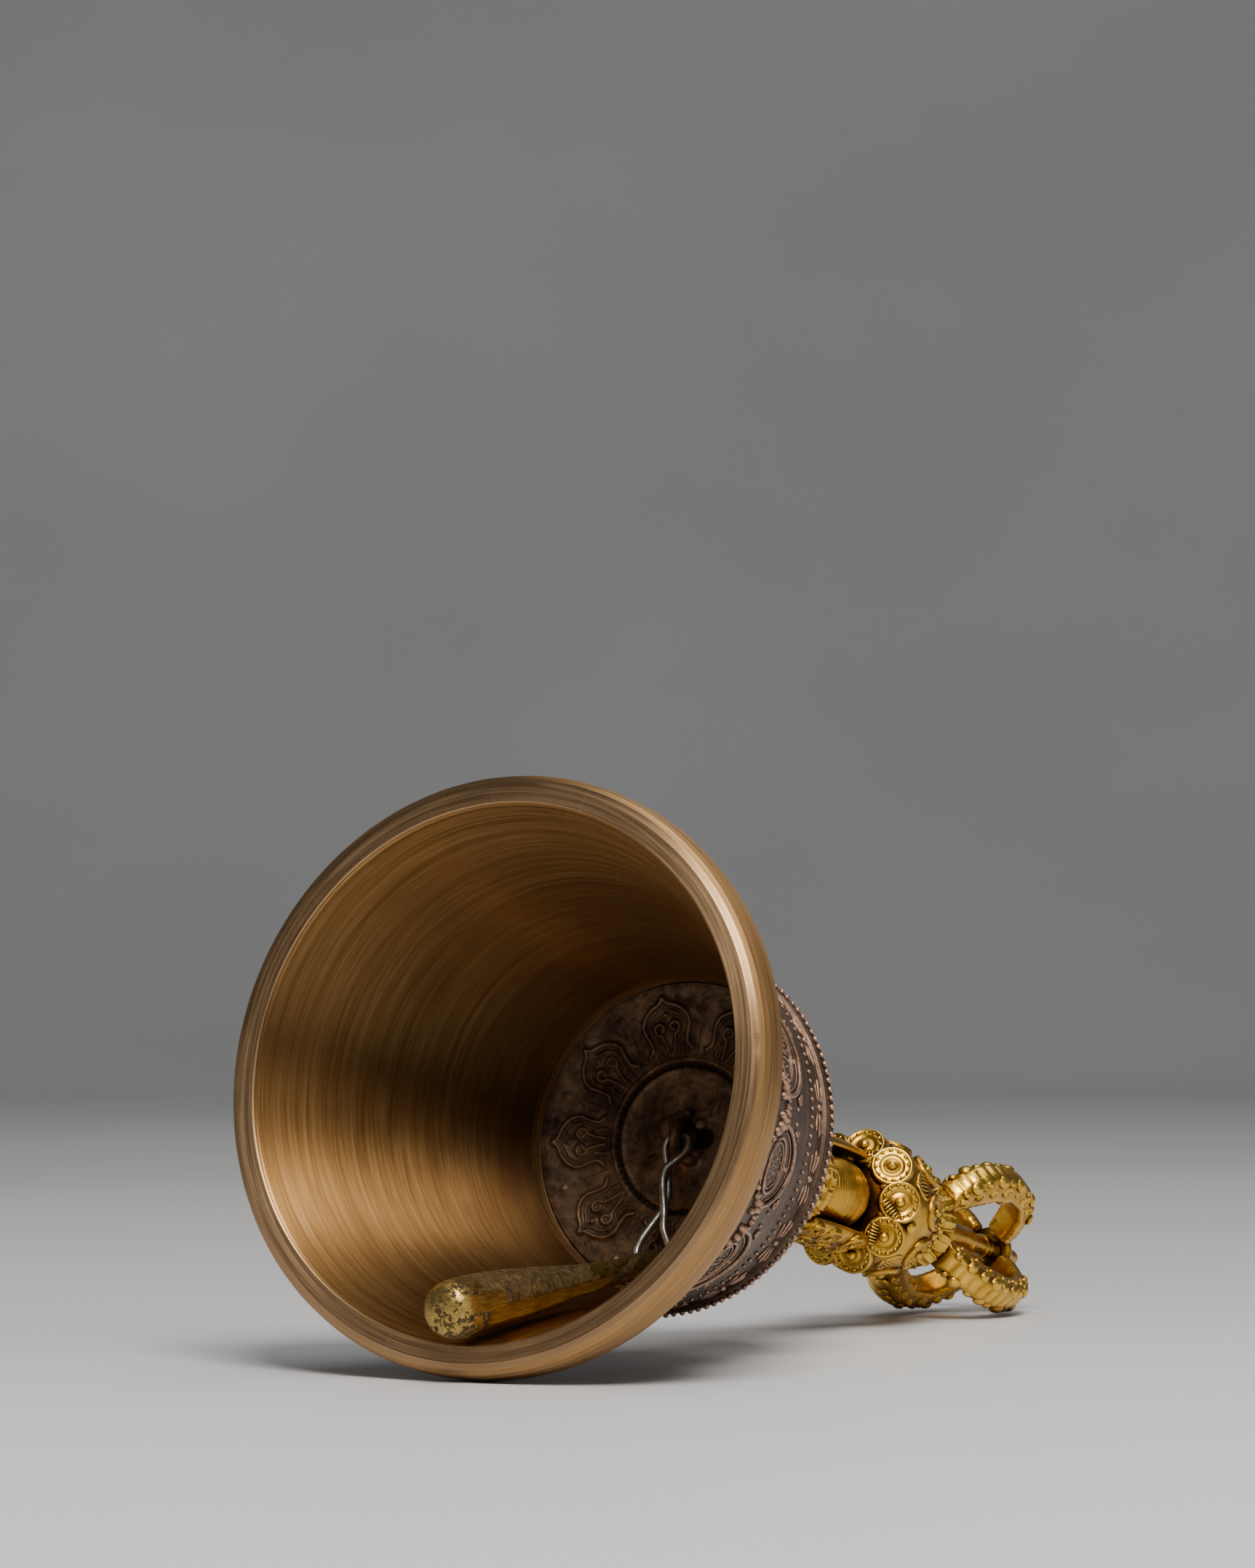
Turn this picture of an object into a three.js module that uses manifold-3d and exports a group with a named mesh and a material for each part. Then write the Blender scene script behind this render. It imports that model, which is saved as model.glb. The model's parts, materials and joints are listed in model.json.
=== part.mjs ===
// Tibetan hand bell with a clapper and a half-vajra handle, lying on its side.
// Units are millimetres and +Z is up. The origin is the middle of the footprint, on the ground.
//
// Every piece is drawn in the bell's own frame: +Y runs along the bell's axis from the mouth plane
// (station 0) to the tip of the handle, +X is the side that lies uppermost and +Z is sideways.
// The whole bell then leans on its lip and on the two lower prongs.

import * as THREE from 'three';
import { mergeVertices } from 'three/addons/utils/BufferGeometryUtils.js';
import Module from 'manifold-3d';

const wasm = await Module();
wasm.setup();

const GAP = 0.3;
const BELL_SIDES = 60;
const HANDLE_SIDES = 26;

// Bell casting
const MOUTH_IN = 42.1;
const MOUTH_FLAT = 45.0;
const LIP_RIDGE = 46.0;
const LIP_BULGE = 47.0;
const LIP_BULGE_AT = 4.2;
const LIP_END = 7.7;
const LIP_EDGE = 0.5;
const WALL_FOOT = 9.0;
const CROWN_IN = 26.6;
const WALL_END = 64.0;
const FLARE_POWER = 1.3;
const WALL_THIN = 1.7;
const WALL_EXTRA = 1.5;
const SHOULDER_AT = 59.6;
const SHOULDER_R = 30.2;
const CROWN_OUT_R = 28.8;
const CROWN_TOP_R = 9.0;
const CROWN_RISE_AT = 61.5;
const CROWN_TOP = 71.0;
const CROWN_CEILING = 67.0;
const CROWN_SAG = 2.2;
const CEILING_R = 24.4;
const FILLET_START = 62.6;
const ROD_HOLE = 2.5;

// Rod through the crown with the staple eye inside the bell
const ROD_R = 2.2;
const STAPLE_AT = 64.4;
const STAPLE_R = 3.2;
const STAPLE_HOLE = 1.2;
const STAPLE_THICK = 3.0;
const ROD_END = 136.5;

// Wire loop and clapper
const WIRE_R = 0.7;
const WIRE_LENGTH = 22.5;
const WIRE_ANGLE = THREE.MathUtils.degToRad(75.6);
const WIRE_HALF_WIDTH = 3.2;
const WIRE_CROSSING = 1.0;
const CLAPPER_ANGLE = THREE.MathUtils.degToRad(13.8);
const CLAPPER_TAIL = 2.8;
const CLAPPER_LENGTH = 68.8;
const CLAPPER_EYE = 1.3;

// Handle castings, as stations along the axis
const BASE_START = CROWN_TOP + GAP;
const BASE_END = 80.0;
const BASE_RING_END = 83.3;
const SPOOL_END = 99.0;
const NECK_RING_END = 105.0;
const COLLAR_END = 112.0;
const BULB_END = 129.0;
const HUB_END = 150.5;
const HUB_RING_END = 153.2;
const CUP_END = 157.5;
const PRONG_TIP = 189.6;
const HANDLE_TIP = 200.8;
const STRAP_INNER = 7.0;
const UPPER_STRAP_R = 8.7;
const LOWER_STRAP_R = 10.4;
const HANDLE_BEND = THREE.MathUtils.degToRad(0.7);

// Half vajra
const PRONG_R = 17.0;
const PRONG_PEAK = 170.0;
const PRONG_WIDTH = 6.2;
const PRONG_TIP_R = 3.4;
const PRONG_BEVEL = 0.5;
const CORE_R = 2.8;

function material(color, roughness, metalness) {
  return new THREE.MeshStandardMaterial({ color, roughness, metalness });
}

const BRONZE = [0xb08a5e, 0.35, 1.0];
const GILT = [0xd9a93f, 0.3, 1.0];
const CAST_BRASS = [0x9c7f45, 0.5, 1.0];
const STEEL = [0xa9a7a0, 0.4, 1.0];
const IRON = [0x4b4038, 0.6, 0.9];

const bell = new THREE.Group();
const handle = new THREE.Group();
bell.add(handle);

function addPiece(name, geometry, look, parent = handle) {
  const mesh = new THREE.Mesh(geometry, material(...look));
  mesh.name = name;
  parent.add(mesh);
  return mesh;
}

function toSolid(geometry) {
  const bare = geometry.clone();
  bare.deleteAttribute('normal');
  bare.deleteAttribute('uv');
  const merged = mergeVertices(bare, 1e-4);
  const vertProperties = new Float32Array(merged.attributes.position.array);
  const triVerts = new Uint32Array(merged.index.array);
  return new wasm.Manifold(new wasm.Mesh({ numProp: 3, vertProperties, triVerts }));
}

function toGeometry(solid) {
  const mesh = solid.getMesh();
  const geometry = new THREE.BufferGeometry();
  geometry.setAttribute('position', new THREE.BufferAttribute(new Float32Array(mesh.vertProperties), 3));
  geometry.setIndex(new THREE.BufferAttribute(new Uint32Array(mesh.triVerts), 1));
  geometry.computeVertexNormals();
  return geometry;
}

// A ring-shaped turned piece with a hole for the rod. The outer profile is a list of
// [radius, station] pairs, from the mouth end to the tip end.
function turned(outer) {
  const points = outer.map(([radius, station]) => new THREE.Vector2(radius, station));
  const first = outer[0][1];
  const last = outer[outer.length - 1][1];
  points.unshift(new THREE.Vector2(ROD_HOLE, first));
  points.push(new THREE.Vector2(ROD_HOLE, last));
  points.push(new THREE.Vector2(ROD_HOLE, first));
  return new THREE.LatheGeometry(points, HANDLE_SIDES);
}

// A solid turned piece whose profile starts and ends on the axis.
function turnedSolid(outer) {
  const points = outer.map(([radius, station]) => new THREE.Vector2(radius, station));
  points.unshift(new THREE.Vector2(0, outer[0][1]));
  points.push(new THREE.Vector2(0, outer[outer.length - 1][1]));
  return new THREE.LatheGeometry(points, HANDLE_SIDES);
}

// Points along a smooth curve through [radius, station] pairs.
function smooth(pairs, divisions) {
  const curve = new THREE.SplineCurve(pairs.map(([radius, station]) => new THREE.Vector2(radius, station)));
  return curve.getPoints(divisions).map((point) => [point.x, point.y]);
}

function innerWall(station) {
  const rest = Math.max(0, 1 - station / WALL_END);
  return CROWN_IN + (MOUTH_IN - CROWN_IN) * rest ** FLARE_POWER;
}

function outerWall(station) {
  const rest = Math.max(0, 1 - station / WALL_END);
  return innerWall(station) + WALL_THIN + WALL_EXTRA * rest ** 2;
}

function ceiling(radius) {
  return CROWN_CEILING - CROWN_SAG * (radius / CEILING_R) ** 2;
}

function bellShell() {
  const points = [];
  const add = (radius, station) => points.push(new THREE.Vector2(radius, station));
  for (let i = 0; i <= 12; i++) {
    const station = (FILLET_START * i) / 12;
    add(innerWall(station), station);
  }
  add(innerWall(FILLET_START) - 0.7, (FILLET_START + ceiling(CEILING_R)) / 2 + 0.5);
  for (let i = 6; i >= 1; i--) {
    const radius = ROD_HOLE + ((CEILING_R - ROD_HOLE) * i) / 6;
    add(radius, ceiling(radius));
  }
  add(ROD_HOLE, CROWN_CEILING);
  add(ROD_HOLE, CROWN_TOP);
  for (let i = 0; i <= 8; i++) {
    const angle = (Math.PI / 2) * (1 - i / 8);
    const radius = CROWN_TOP_R + (CROWN_OUT_R - CROWN_TOP_R) * Math.cos(angle);
    add(radius, CROWN_RISE_AT + (CROWN_TOP - CROWN_RISE_AT) * Math.sin(angle));
  }
  add(SHOULDER_R, SHOULDER_AT + 1);
  add(SHOULDER_R, SHOULDER_AT - 1);
  for (let i = 0; i <= 9; i++) {
    const station = SHOULDER_AT - 1.6 + ((WALL_FOOT - SHOULDER_AT + 1.6) * i) / 9;
    add(outerWall(station), station);
  }
  add(LIP_RIDGE, LIP_END);
  add(LIP_BULGE - 0.2, LIP_END - 0.9);
  add(LIP_BULGE, LIP_BULGE_AT);
  add(LIP_BULGE - 0.3, LIP_BULGE_AT / 2);
  add(LIP_RIDGE, LIP_EDGE);
  add(MOUTH_FLAT, 0);
  add(innerWall(0), 0);
  return new THREE.LatheGeometry(points.reverse(), BELL_SIDES);
}

function handleRod() {
  const shape = new THREE.Shape();
  shape.absarc(0, STAPLE_AT, STAPLE_R, 0, 2 * Math.PI);
  const hole = new THREE.Path();
  hole.absarc(0, STAPLE_AT, STAPLE_HOLE, 0, 2 * Math.PI, true);
  shape.holes.push(hole);
  const plate = new THREE.ExtrudeGeometry(shape, { depth: STAPLE_THICK, bevelEnabled: false, curveSegments: 12 });
  plate.translate(0, 0, -STAPLE_THICK / 2);
  const start = STAPLE_AT + STAPLE_HOLE + 0.6;
  const rod = turnedSolid([[ROD_R, start], [ROD_R, ROD_END]]);
  return toGeometry(toSolid(plate).add(toSolid(rod)));
}

// The wire in its own frame: +Y from the staple to the clapper eye, Z sideways.
function wireLoop() {
  const half = WIRE_HALF_WIDTH;
  const near = half / 2;
  const turn = 1.7;
  const far = WIRE_LENGTH;
  const cut = 0.25;
  const at = (x, y, z) => new THREE.Vector3(x, y, z);
  const path = new THREE.CatmullRomCurve3([
    at(0, far, cut),
    at(0, far, near),
    at(0, far - turn, half),
    at(WIRE_CROSSING, far / 2, 0),
    at(0, turn, -half),
    at(0, 0, -near),
    at(0, 0, near),
    at(0, turn, half),
    at(-WIRE_CROSSING, far / 2, 0),
    at(0, far - turn, -half),
    at(0, far, -near),
    at(0, far, -cut),
  ], false, 'centripetal');
  const section = new THREE.Shape();
  section.absarc(0, 0, WIRE_R, 0, 2 * Math.PI);
  return new THREE.ExtrudeGeometry(section, { steps: 64, extrudePath: path, curveSegments: 4 });
}

// The clapper in its own frame: the eye at the origin and +Y toward the striking end.
function clapperDrop() {
  const outline = smooth([[1.3, -CLAPPER_TAIL], [2.3, -1.2], [2.3, 3], [2.1, 12], [2.6, 25], [3.8, 38],
    [4.5, 48], [4.7, 58], [4.2, 65], [2.4, CLAPPER_LENGTH]], 18);
  const body = turnedSolid(outline);
  const bore = new THREE.CylinderGeometry(CLAPPER_EYE, CLAPPER_EYE, 12, 16);
  bore.rotateX(Math.PI / 2);
  return toGeometry(toSolid(body).subtract(toSolid(bore)));
}

function strap(outerRadius, width) {
  const start = COLLAR_END + GAP;
  const end = BULB_END;
  const middle = (start + end) / 2;
  const shape = new THREE.Shape();
  shape.moveTo(STRAP_INNER, start);
  shape.lineTo(outerRadius - 0.5, start);
  shape.quadraticCurveTo(outerRadius + 0.5, middle, outerRadius - 0.5, end);
  shape.lineTo(STRAP_INNER, end);
  shape.quadraticCurveTo(STRAP_INNER + 0.6, middle, STRAP_INNER, start);
  const geometry = new THREE.ExtrudeGeometry(shape, { depth: width, bevelEnabled: false, curveSegments: 8 });
  geometry.translate(0, 0, -width / 2);
  return geometry;
}

function prong() {
  const start = CUP_END + GAP;
  const at = (radius, station) => new THREE.Vector2(radius, station);
  const shape = new THREE.Shape();
  shape.moveTo(3.9, start);
  shape.lineTo(9.2, start);
  shape.splineThru([at(13.0, 160.0), at(15.8, 164.2), at(PRONG_R, PRONG_PEAK), at(16.8, 176.4),
    at(14.6, 183.0), at(11.2, 187.4), at(7.0, PRONG_TIP - 0.2)]);
  shape.lineTo(PRONG_TIP_R, PRONG_TIP);
  shape.lineTo(PRONG_TIP_R, PRONG_TIP - 3.6);
  shape.splineThru([at(6.6, 185.2), at(9.8, 182.8), at(11.5, 178.6), at(11.2, 174.4), at(9.2, 170.0),
    at(7.0, 165.4), at(5.2, 161.2), at(3.9, start)]);
  const depth = PRONG_WIDTH - 2 * PRONG_BEVEL;
  const geometry = new THREE.ExtrudeGeometry(shape, {
    depth,
    bevelThickness: PRONG_BEVEL,
    bevelSize: PRONG_BEVEL,
    bevelOffset: -PRONG_BEVEL,
    bevelSegments: 1,
    curveSegments: 3,
  });
  geometry.translate(0, 0, -depth / 2);
  return geometry;
}

addPiece('bell_shell', bellShell(), BRONZE, bell);
addPiece('handle_rod', handleRod(), IRON);

const wire = addPiece('clapper_wire', wireLoop(), STEEL, bell);
wire.position.set(0, STAPLE_AT, 0);
wire.rotation.z = Math.PI - WIRE_ANGLE;
const eye = new THREE.Vector2(-Math.sin(WIRE_ANGLE), -Math.cos(WIRE_ANGLE)).multiplyScalar(WIRE_LENGTH);
const clapper = addPiece('clapper', clapperDrop(), CAST_BRASS, bell);
clapper.position.set(eye.x, STAPLE_AT + eye.y, 0);
clapper.rotation.z = Math.PI - CLAPPER_ANGLE;

addPiece('base_lotus', turned(smooth([[11.4, BASE_START], [13.6, 73.6], [12.2, 76.4], [8.4, BASE_END]], 8)), GILT);
addPiece('base_bead_ring', turned(smooth([[8.0, BASE_END + GAP], [9.6, 81.8], [8.0, BASE_RING_END]], 6)), GILT);
addPiece('handle_spool', turned(smooth([[7.0, BASE_RING_END + GAP], [8.0, 86.8], [10.6, 91.8], [8.0, 96.4],
  [7.0, SPOOL_END]], 10)), GILT);
addPiece('neck_ring', turned(smooth([[7.4, SPOOL_END + GAP], [9.2, 102.2], [7.4, NECK_RING_END]], 6)), GILT);
addPiece('lower_collar', turned(smooth([[7.0, NECK_RING_END + GAP], [7.9, 108], [8.3, 110.4],
  [7.9, COLLAR_END]], 7)), GILT);
addPiece('smooth_bulb', turned(smooth([[4.4, COLLAR_END + GAP], [5.9, 116], [6.3, 120], [6.0, 124.6],
  [4.0, BULB_END]], 10)), GILT);
addPiece('upper_strap', strap(UPPER_STRAP_R, 6), GILT);
addPiece('lower_strap', strap(LOWER_STRAP_R, 11), GILT).rotation.y = Math.PI;
addPiece('medallion_hub', turned(smooth([[8.2, BULB_END + GAP], [10.6, 132.4], [11.6, 137.6], [11.4, 142.6],
  [9.8, 147.2], [7.4, HUB_END]], 10)), GILT);
addPiece('hub_bead_ring', turned(smooth([[7.0, HUB_END + GAP], [8.2, 152.0], [7.0, HUB_RING_END]], 6)), GILT);
addPiece('petal_cup', turned(smooth([[6.4, HUB_RING_END + GAP], [8.2, 155.0], [9.6, 156.8], [9.4, CUP_END]], 7)), GILT);

['prong_upper_left', 'prong_lower_left', 'prong_lower_right', 'prong_upper_right'].forEach((name, index) => {
  addPiece(name, prong(), GILT).rotation.y = -(Math.PI / 4) * (2 * index + 1);
});
addPiece('central_prong', turnedSolid(smooth([[2.7, CUP_END + GAP], [2.3, 165], [CORE_R, 173], [2.3, 181],
  [2.6, PRONG_TIP]], 10)), GILT);
addPiece('tip_cap', turnedSolid(smooth([[4.6, PRONG_TIP + GAP], [3.9, 191.3], [2.1, 193.6], [1.8, 197.5],
  [1.5, 199.8], [0.7, HANDLE_TIP]], 12)), GILT);

// The handle bends a little toward the ground from the top of the crown.
handle.rotation.z = HANDLE_BEND;
handle.position.set(CROWN_TOP * Math.sin(HANDLE_BEND), CROWN_TOP * (1 - Math.cos(HANDLE_BEND)), 0);
bell.updateMatrixWorld(true);

// The lean: the ground touches the lip and the two lower prongs at their lowest corners.
function lowestCorner(corners, lean) {
  const height = (corner) => corner.x * Math.cos(lean) - corner.y * Math.sin(lean);
  return corners.reduce((best, corner) => (height(corner) < height(best) ? corner : best));
}

function prongCorners() {
  const mesh = handle.getObjectByName('prong_lower_left');
  const source = mesh.geometry.attributes.position;
  const corners = [];
  for (let i = 0; i < source.count; i++) {
    const corner = new THREE.Vector3().fromBufferAttribute(source, i).applyMatrix4(mesh.matrixWorld);
    corners.push(new THREE.Vector2(corner.x, corner.y));
  }
  return corners;
}

const lipCorners = [
  new THREE.Vector2(-LIP_BULGE, LIP_BULGE_AT),
  new THREE.Vector2(0.2 - LIP_BULGE, LIP_END - 0.9),
  new THREE.Vector2(-LIP_RIDGE, LIP_END),
];
const footCorners = prongCorners();
let lean = 0.18;
for (let i = 0; i < 6; i++) {
  const lipFoot = lowestCorner(lipCorners, lean);
  const prongFoot = lowestCorner(footCorners, lean);
  lean = Math.atan2(prongFoot.x - lipFoot.x, prongFoot.y - lipFoot.y);
}

const along = new THREE.Vector3(Math.cos(lean), 0, -Math.sin(lean));
const upper = new THREE.Vector3(Math.sin(lean), 0, Math.cos(lean));
const sideways = new THREE.Vector3(0, 1, 0);
bell.quaternion.setFromRotationMatrix(new THREE.Matrix4().makeBasis(upper, along, sideways));
bell.updateMatrixWorld(true);

const part = new THREE.Group();
part.add(bell);
const box = new THREE.Box3().setFromObject(part, true);
bell.position.set(-(box.min.x + box.max.x) / 2, -(box.min.y + box.max.y) / 2, -box.min.z);
part.updateMatrixWorld(true);

export default part;
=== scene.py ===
import math
import bpy
import numpy as np
from mathutils import Matrix, Vector
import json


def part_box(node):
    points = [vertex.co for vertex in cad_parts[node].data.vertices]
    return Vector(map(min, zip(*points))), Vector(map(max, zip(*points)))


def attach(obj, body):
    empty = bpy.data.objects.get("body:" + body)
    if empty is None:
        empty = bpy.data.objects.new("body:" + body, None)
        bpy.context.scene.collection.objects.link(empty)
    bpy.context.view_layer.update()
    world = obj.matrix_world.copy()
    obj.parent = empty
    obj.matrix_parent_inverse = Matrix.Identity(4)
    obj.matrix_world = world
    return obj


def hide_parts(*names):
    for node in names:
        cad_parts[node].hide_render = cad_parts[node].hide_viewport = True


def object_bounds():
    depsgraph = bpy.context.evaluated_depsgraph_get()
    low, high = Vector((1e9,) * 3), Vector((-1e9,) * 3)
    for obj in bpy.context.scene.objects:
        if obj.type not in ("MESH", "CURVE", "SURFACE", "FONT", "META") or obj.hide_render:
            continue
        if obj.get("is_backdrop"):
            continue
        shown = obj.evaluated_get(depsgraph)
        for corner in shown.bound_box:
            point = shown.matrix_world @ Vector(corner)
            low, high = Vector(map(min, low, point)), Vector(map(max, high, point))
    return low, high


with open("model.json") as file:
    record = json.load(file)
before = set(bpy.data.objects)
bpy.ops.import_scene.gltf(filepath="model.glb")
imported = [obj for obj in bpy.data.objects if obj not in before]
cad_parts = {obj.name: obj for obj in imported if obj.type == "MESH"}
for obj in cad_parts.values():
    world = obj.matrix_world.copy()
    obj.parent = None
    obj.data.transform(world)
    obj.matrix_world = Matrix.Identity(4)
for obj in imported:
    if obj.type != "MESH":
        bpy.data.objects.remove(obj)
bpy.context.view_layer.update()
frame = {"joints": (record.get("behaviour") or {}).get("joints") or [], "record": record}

# Tibetan hand bell lying on its side. All shapes are drawn in millimetres in the bell's own frame:
# x is sideways, y is the uppermost side and z runs along the axis from the mouth plane to the tip.
# An azimuth of 0 is the -x side and 90 degrees is the uppermost side.

record = frame["record"]
joints = {joint["name"]: joint for joint in frame["joints"]}
mouth = [mount for mount in record["mounts"] if mount["name"] == "mouth_face"][0]

# The staple's station along the axis, and how far the wire and the clapper lean down from the axis at rest.
STAPLE_AT = 64.4
WIRE_ANGLE = math.radians(75.6)
CLAPPER_ANGLE = math.radians(13.8)

AXIS = -Vector(mouth["axis"]).normalized()
SIDE = Vector((0, 1, 0))
UPPER = AXIS.cross(SIDE).normalized()
STAPLE = Vector(joints["wire_swing"]["pos_m"])
RIM_CENTRE = STAPLE - AXIS * STAPLE_AT * 0.001
EYE = Vector(joints["clapper_fold"]["pos_m"])


def placed(side, upper, along, origin):
    matrix = Matrix.Identity(4)
    for row in range(3):
        matrix[row][0] = side[row]
        matrix[row][1] = upper[row]
        matrix[row][2] = along[row]
        matrix[row][3] = origin[row]
    return matrix


# The handle is a little crooked: it bends at the top of the crown.
BELL = placed(SIDE, UPPER, AXIS, RIM_CENTRE)
CROWN_TOP = 0.071
HANDLE_BEND = math.radians(0.7)
HANDLE = (BELL @ Matrix.Translation((0, 0, CROWN_TOP)) @ Matrix.Rotation(HANDLE_BEND, 4, "X")
          @ Matrix.Translation((0, 0, -CROWN_TOP)))


# ---------------------------------------------------------------- mesh helpers

def volume(points, faces):
    """Six times the signed volume between the faces and the origin."""
    corner = points[faces]
    return np.einsum("nj,nkj->", corner[:, 0], np.cross(corner[:, 1:-1], corner[:, 2:]))


def grid_part(points, mask=None, loop_rows=False):
    """A closed surface from rows and columns of points; open ends get a flat cap."""
    rows, cols = points.shape[:2]
    flat = points.reshape(-1, 3)
    index = np.arange(rows * cols).reshape(rows, cols)
    top = np.roll(index, -1, axis=0) if loop_rows else index[1:]
    low = index if loop_rows else index[:-1]
    quads = np.stack([low, np.roll(low, -1, axis=1), np.roll(top, -1, axis=1), top], axis=-1).reshape(-1, 4)
    caps = [] if loop_rows else [index[0][::-1], index[-1]]
    if volume(flat, quads) + sum(volume(flat, cap[None]) for cap in caps) < 0:
        quads = quads[:, ::-1]
        caps = [cap[::-1] for cap in caps]
    values = np.zeros(len(flat)) if mask is None else np.asarray(mask, float).reshape(-1)
    return flat, quads, caps, values


def make(name, parts, look, body, matrix=BELL, replaces=(), flat_caps=True):
    """One piece from closed parts in millimetres. Its point attributes carry what the finishes need."""
    loops, sizes, smooth = [], [], []
    base = 0
    for flat, quads, caps, _ in parts:
        loops += [(quads + base).reshape(-1)] + [cap + base for cap in caps]
        sizes += [4] * len(quads) + [len(cap) for cap in caps]
        smooth += [True] * len(quads) + [not flat_caps] * len(caps)
        base += len(flat)
    points = np.concatenate([part[0] for part in parts]) * 0.001
    loops, sizes = np.concatenate(loops).astype(np.int32), np.array(sizes, np.int32)
    turn = np.array(matrix.to_3x3())
    mesh = bpy.data.meshes.new(name)
    mesh.vertices.add(len(points))
    mesh.vertices.foreach_set("co", (points @ turn.T + np.array(matrix.translation)).reshape(-1))
    mesh.loops.add(len(loops))
    mesh.loops.foreach_set("vertex_index", loops)
    mesh.polygons.add(len(sizes))
    mesh.polygons.foreach_set("loop_start", (np.cumsum(sizes) - sizes).astype(np.int32))
    mesh.polygons.foreach_set("loop_total", sizes)
    mesh.polygons.foreach_set("use_smooth", smooth)
    sweep = normalised(np.stack([-points[:, 1], points[:, 0], np.full(len(points), 1e-9)], axis=1))
    for key, kind, field, values in (
            ("relief", "FLOAT", "value", np.concatenate([part[3] for part in parts])),
            ("place", "FLOAT_VECTOR", "vector", points), ("sweep", "FLOAT_VECTOR", "vector", sweep @ turn.T)):
        data = mesh.attributes.new(key, kind, "POINT").data
        data.foreach_set(field, values.astype(np.float32).reshape(-1))
    mesh.update(calc_edges=True)
    mesh.validate()
    piece = bpy.data.objects.new(name, mesh)
    bpy.context.scene.collection.objects.link(piece)
    piece.data.materials.append(look)
    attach(piece, body)
    if replaces:
        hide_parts(*replaces)
    return piece


def around(azimuth, radius, station):
    sideways, upward = -radius * np.cos(azimuth), radius * np.sin(azimuth)
    return np.stack(np.broadcast_arrays(sideways, upward, station), axis=-1)


def azimuths(cols):
    return np.arange(cols) / cols * 2 * math.pi


def hump(value, at, width):
    """A smooth hump of height one."""
    return np.exp(-((value - at) / width) ** 2)


def unit(value):
    return np.clip(value, 0, 1)


def rounded(value, power):
    """Turns the sine and cosine of a circle into those of a rounded square."""
    return np.sign(value) * np.abs(value) ** power


def catmull(pairs, count):
    """Points along a smooth curve through the given points."""
    p = np.asarray(pairs, float)
    p = np.vstack([2 * p[0] - p[1], p, 2 * p[-1] - p[-2]])
    out = []
    for t in np.linspace(0, len(pairs) - 1, count):
        i = min(int(t), len(pairs) - 2)
        u = t - i
        a, b, c, d = p[i], p[i + 1], p[i + 2], p[i + 3]
        out.append(0.5 * (2 * b + (c - a) * u + (2 * a - 5 * b + 4 * c - d) * u * u
                          + (3 * b - a - 3 * c + d) * u ** 3))
    return np.array(out)


def tight(profile, step=0.06):
    """Extra points close to each corner of a profile, so that edges stay crisp when shaded smooth."""
    out = [np.array(profile[0], float)]
    for a, b in zip(profile[:-1], profile[1:]):
        a, b = np.array(a, float), np.array(b, float)
        length = np.linalg.norm(b - a)
        if length > 4 * step:
            out.append(a + (b - a) * step / length)
            out.append(b - (b - a) * step / length)
        out.append(b)
    return np.array(out)


def normalised(vectors):
    vectors = np.asarray(vectors, float)
    return vectors / np.linalg.norm(vectors, axis=-1, keepdims=True)


def normals_2d(profile):
    """Outward normal of a profile that runs toward the tip, with the outside at larger radius."""
    tangent = normalised(np.gradient(profile, axis=0))
    return np.stack([tangent[:, 1], -tangent[:, 0]], axis=1)


def on_profile(azimuth, at, keys, profile, normal, height=0.0):
    """A point on a turned surface and the direction away from the metal."""
    r, s, nr, ns = (np.interp(at, keys, column) for column in (*profile.T, *normal.T))
    return around(azimuth, r + height * nr, s + height * ns), around(azimuth, nr, ns)


def tube(path, radius, sides=8, loop=False, up=None, flatten=1.0, value=0.8):
    """A round bar along a path; radius may vary along it."""
    path = np.asarray(path, float)
    radius = np.broadcast_to(np.asarray(radius, float), len(path))
    if loop:
        tangent = np.roll(path, -1, axis=0) - np.roll(path, 1, axis=0)
    else:
        tangent = np.gradient(path, axis=0)
    tangent = normalised(tangent)
    if up is None:
        normal = [normalised(np.cross(tangent[0], [0.3, 0.5, 0.81]))]
        for step in tangent[1:]:
            normal.append(normalised(normal[-1] - step * np.dot(normal[-1], step)))
        normal = np.array(normal)
    else:
        normal = np.broadcast_to(np.asarray(up, float), path.shape)
        normal = normalised(normal - tangent * np.einsum("ij,ij->i", normal, tangent)[:, None])
    side = np.cross(tangent, normal)
    angle = azimuths(sides)
    points = path[:, None, :] + radius[:, None, None] * (
        np.cos(angle)[None, :, None] * side[:, None, :]
        + flatten * np.sin(angle)[None, :, None] * normal[:, None, :])
    lift = value * (0.45 + 0.55 * np.broadcast_to(np.sin(angle)[None, :], points.shape[:2]))
    return grid_part(points, lift, loop_rows=loop)


def bead(centre, normal, radius, height=None, along=None, stretch=1.0, rings=6, sides=10, value=1.0):
    """A rounded knob that rises from a surface."""
    normal = normalised(normal)
    guide = np.asarray((0, 0, 1) if along is None else along, float)
    first = normalised(guide - normal * np.dot(guide, normal))
    second = np.cross(normal, first)
    height = radius if height is None else height
    polar = np.linspace(0.06, math.pi - 0.06, rings + 1)[:, None]
    angle = azimuths(sides)[None, :]
    points = (centre + (radius * stretch * np.sin(polar) * np.cos(angle))[..., None] * first
              + (radius * np.sin(polar) * np.sin(angle))[..., None] * second
              + (height * np.cos(polar) * np.ones_like(angle))[..., None] * normal)
    lift = value * unit(0.35 + 0.65 * np.cos(polar) * np.ones_like(angle))
    return grid_part(points, lift)


def ridge(distance, width, height):
    return height * np.exp(-(distance / width) ** 2 * 1.6)


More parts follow.
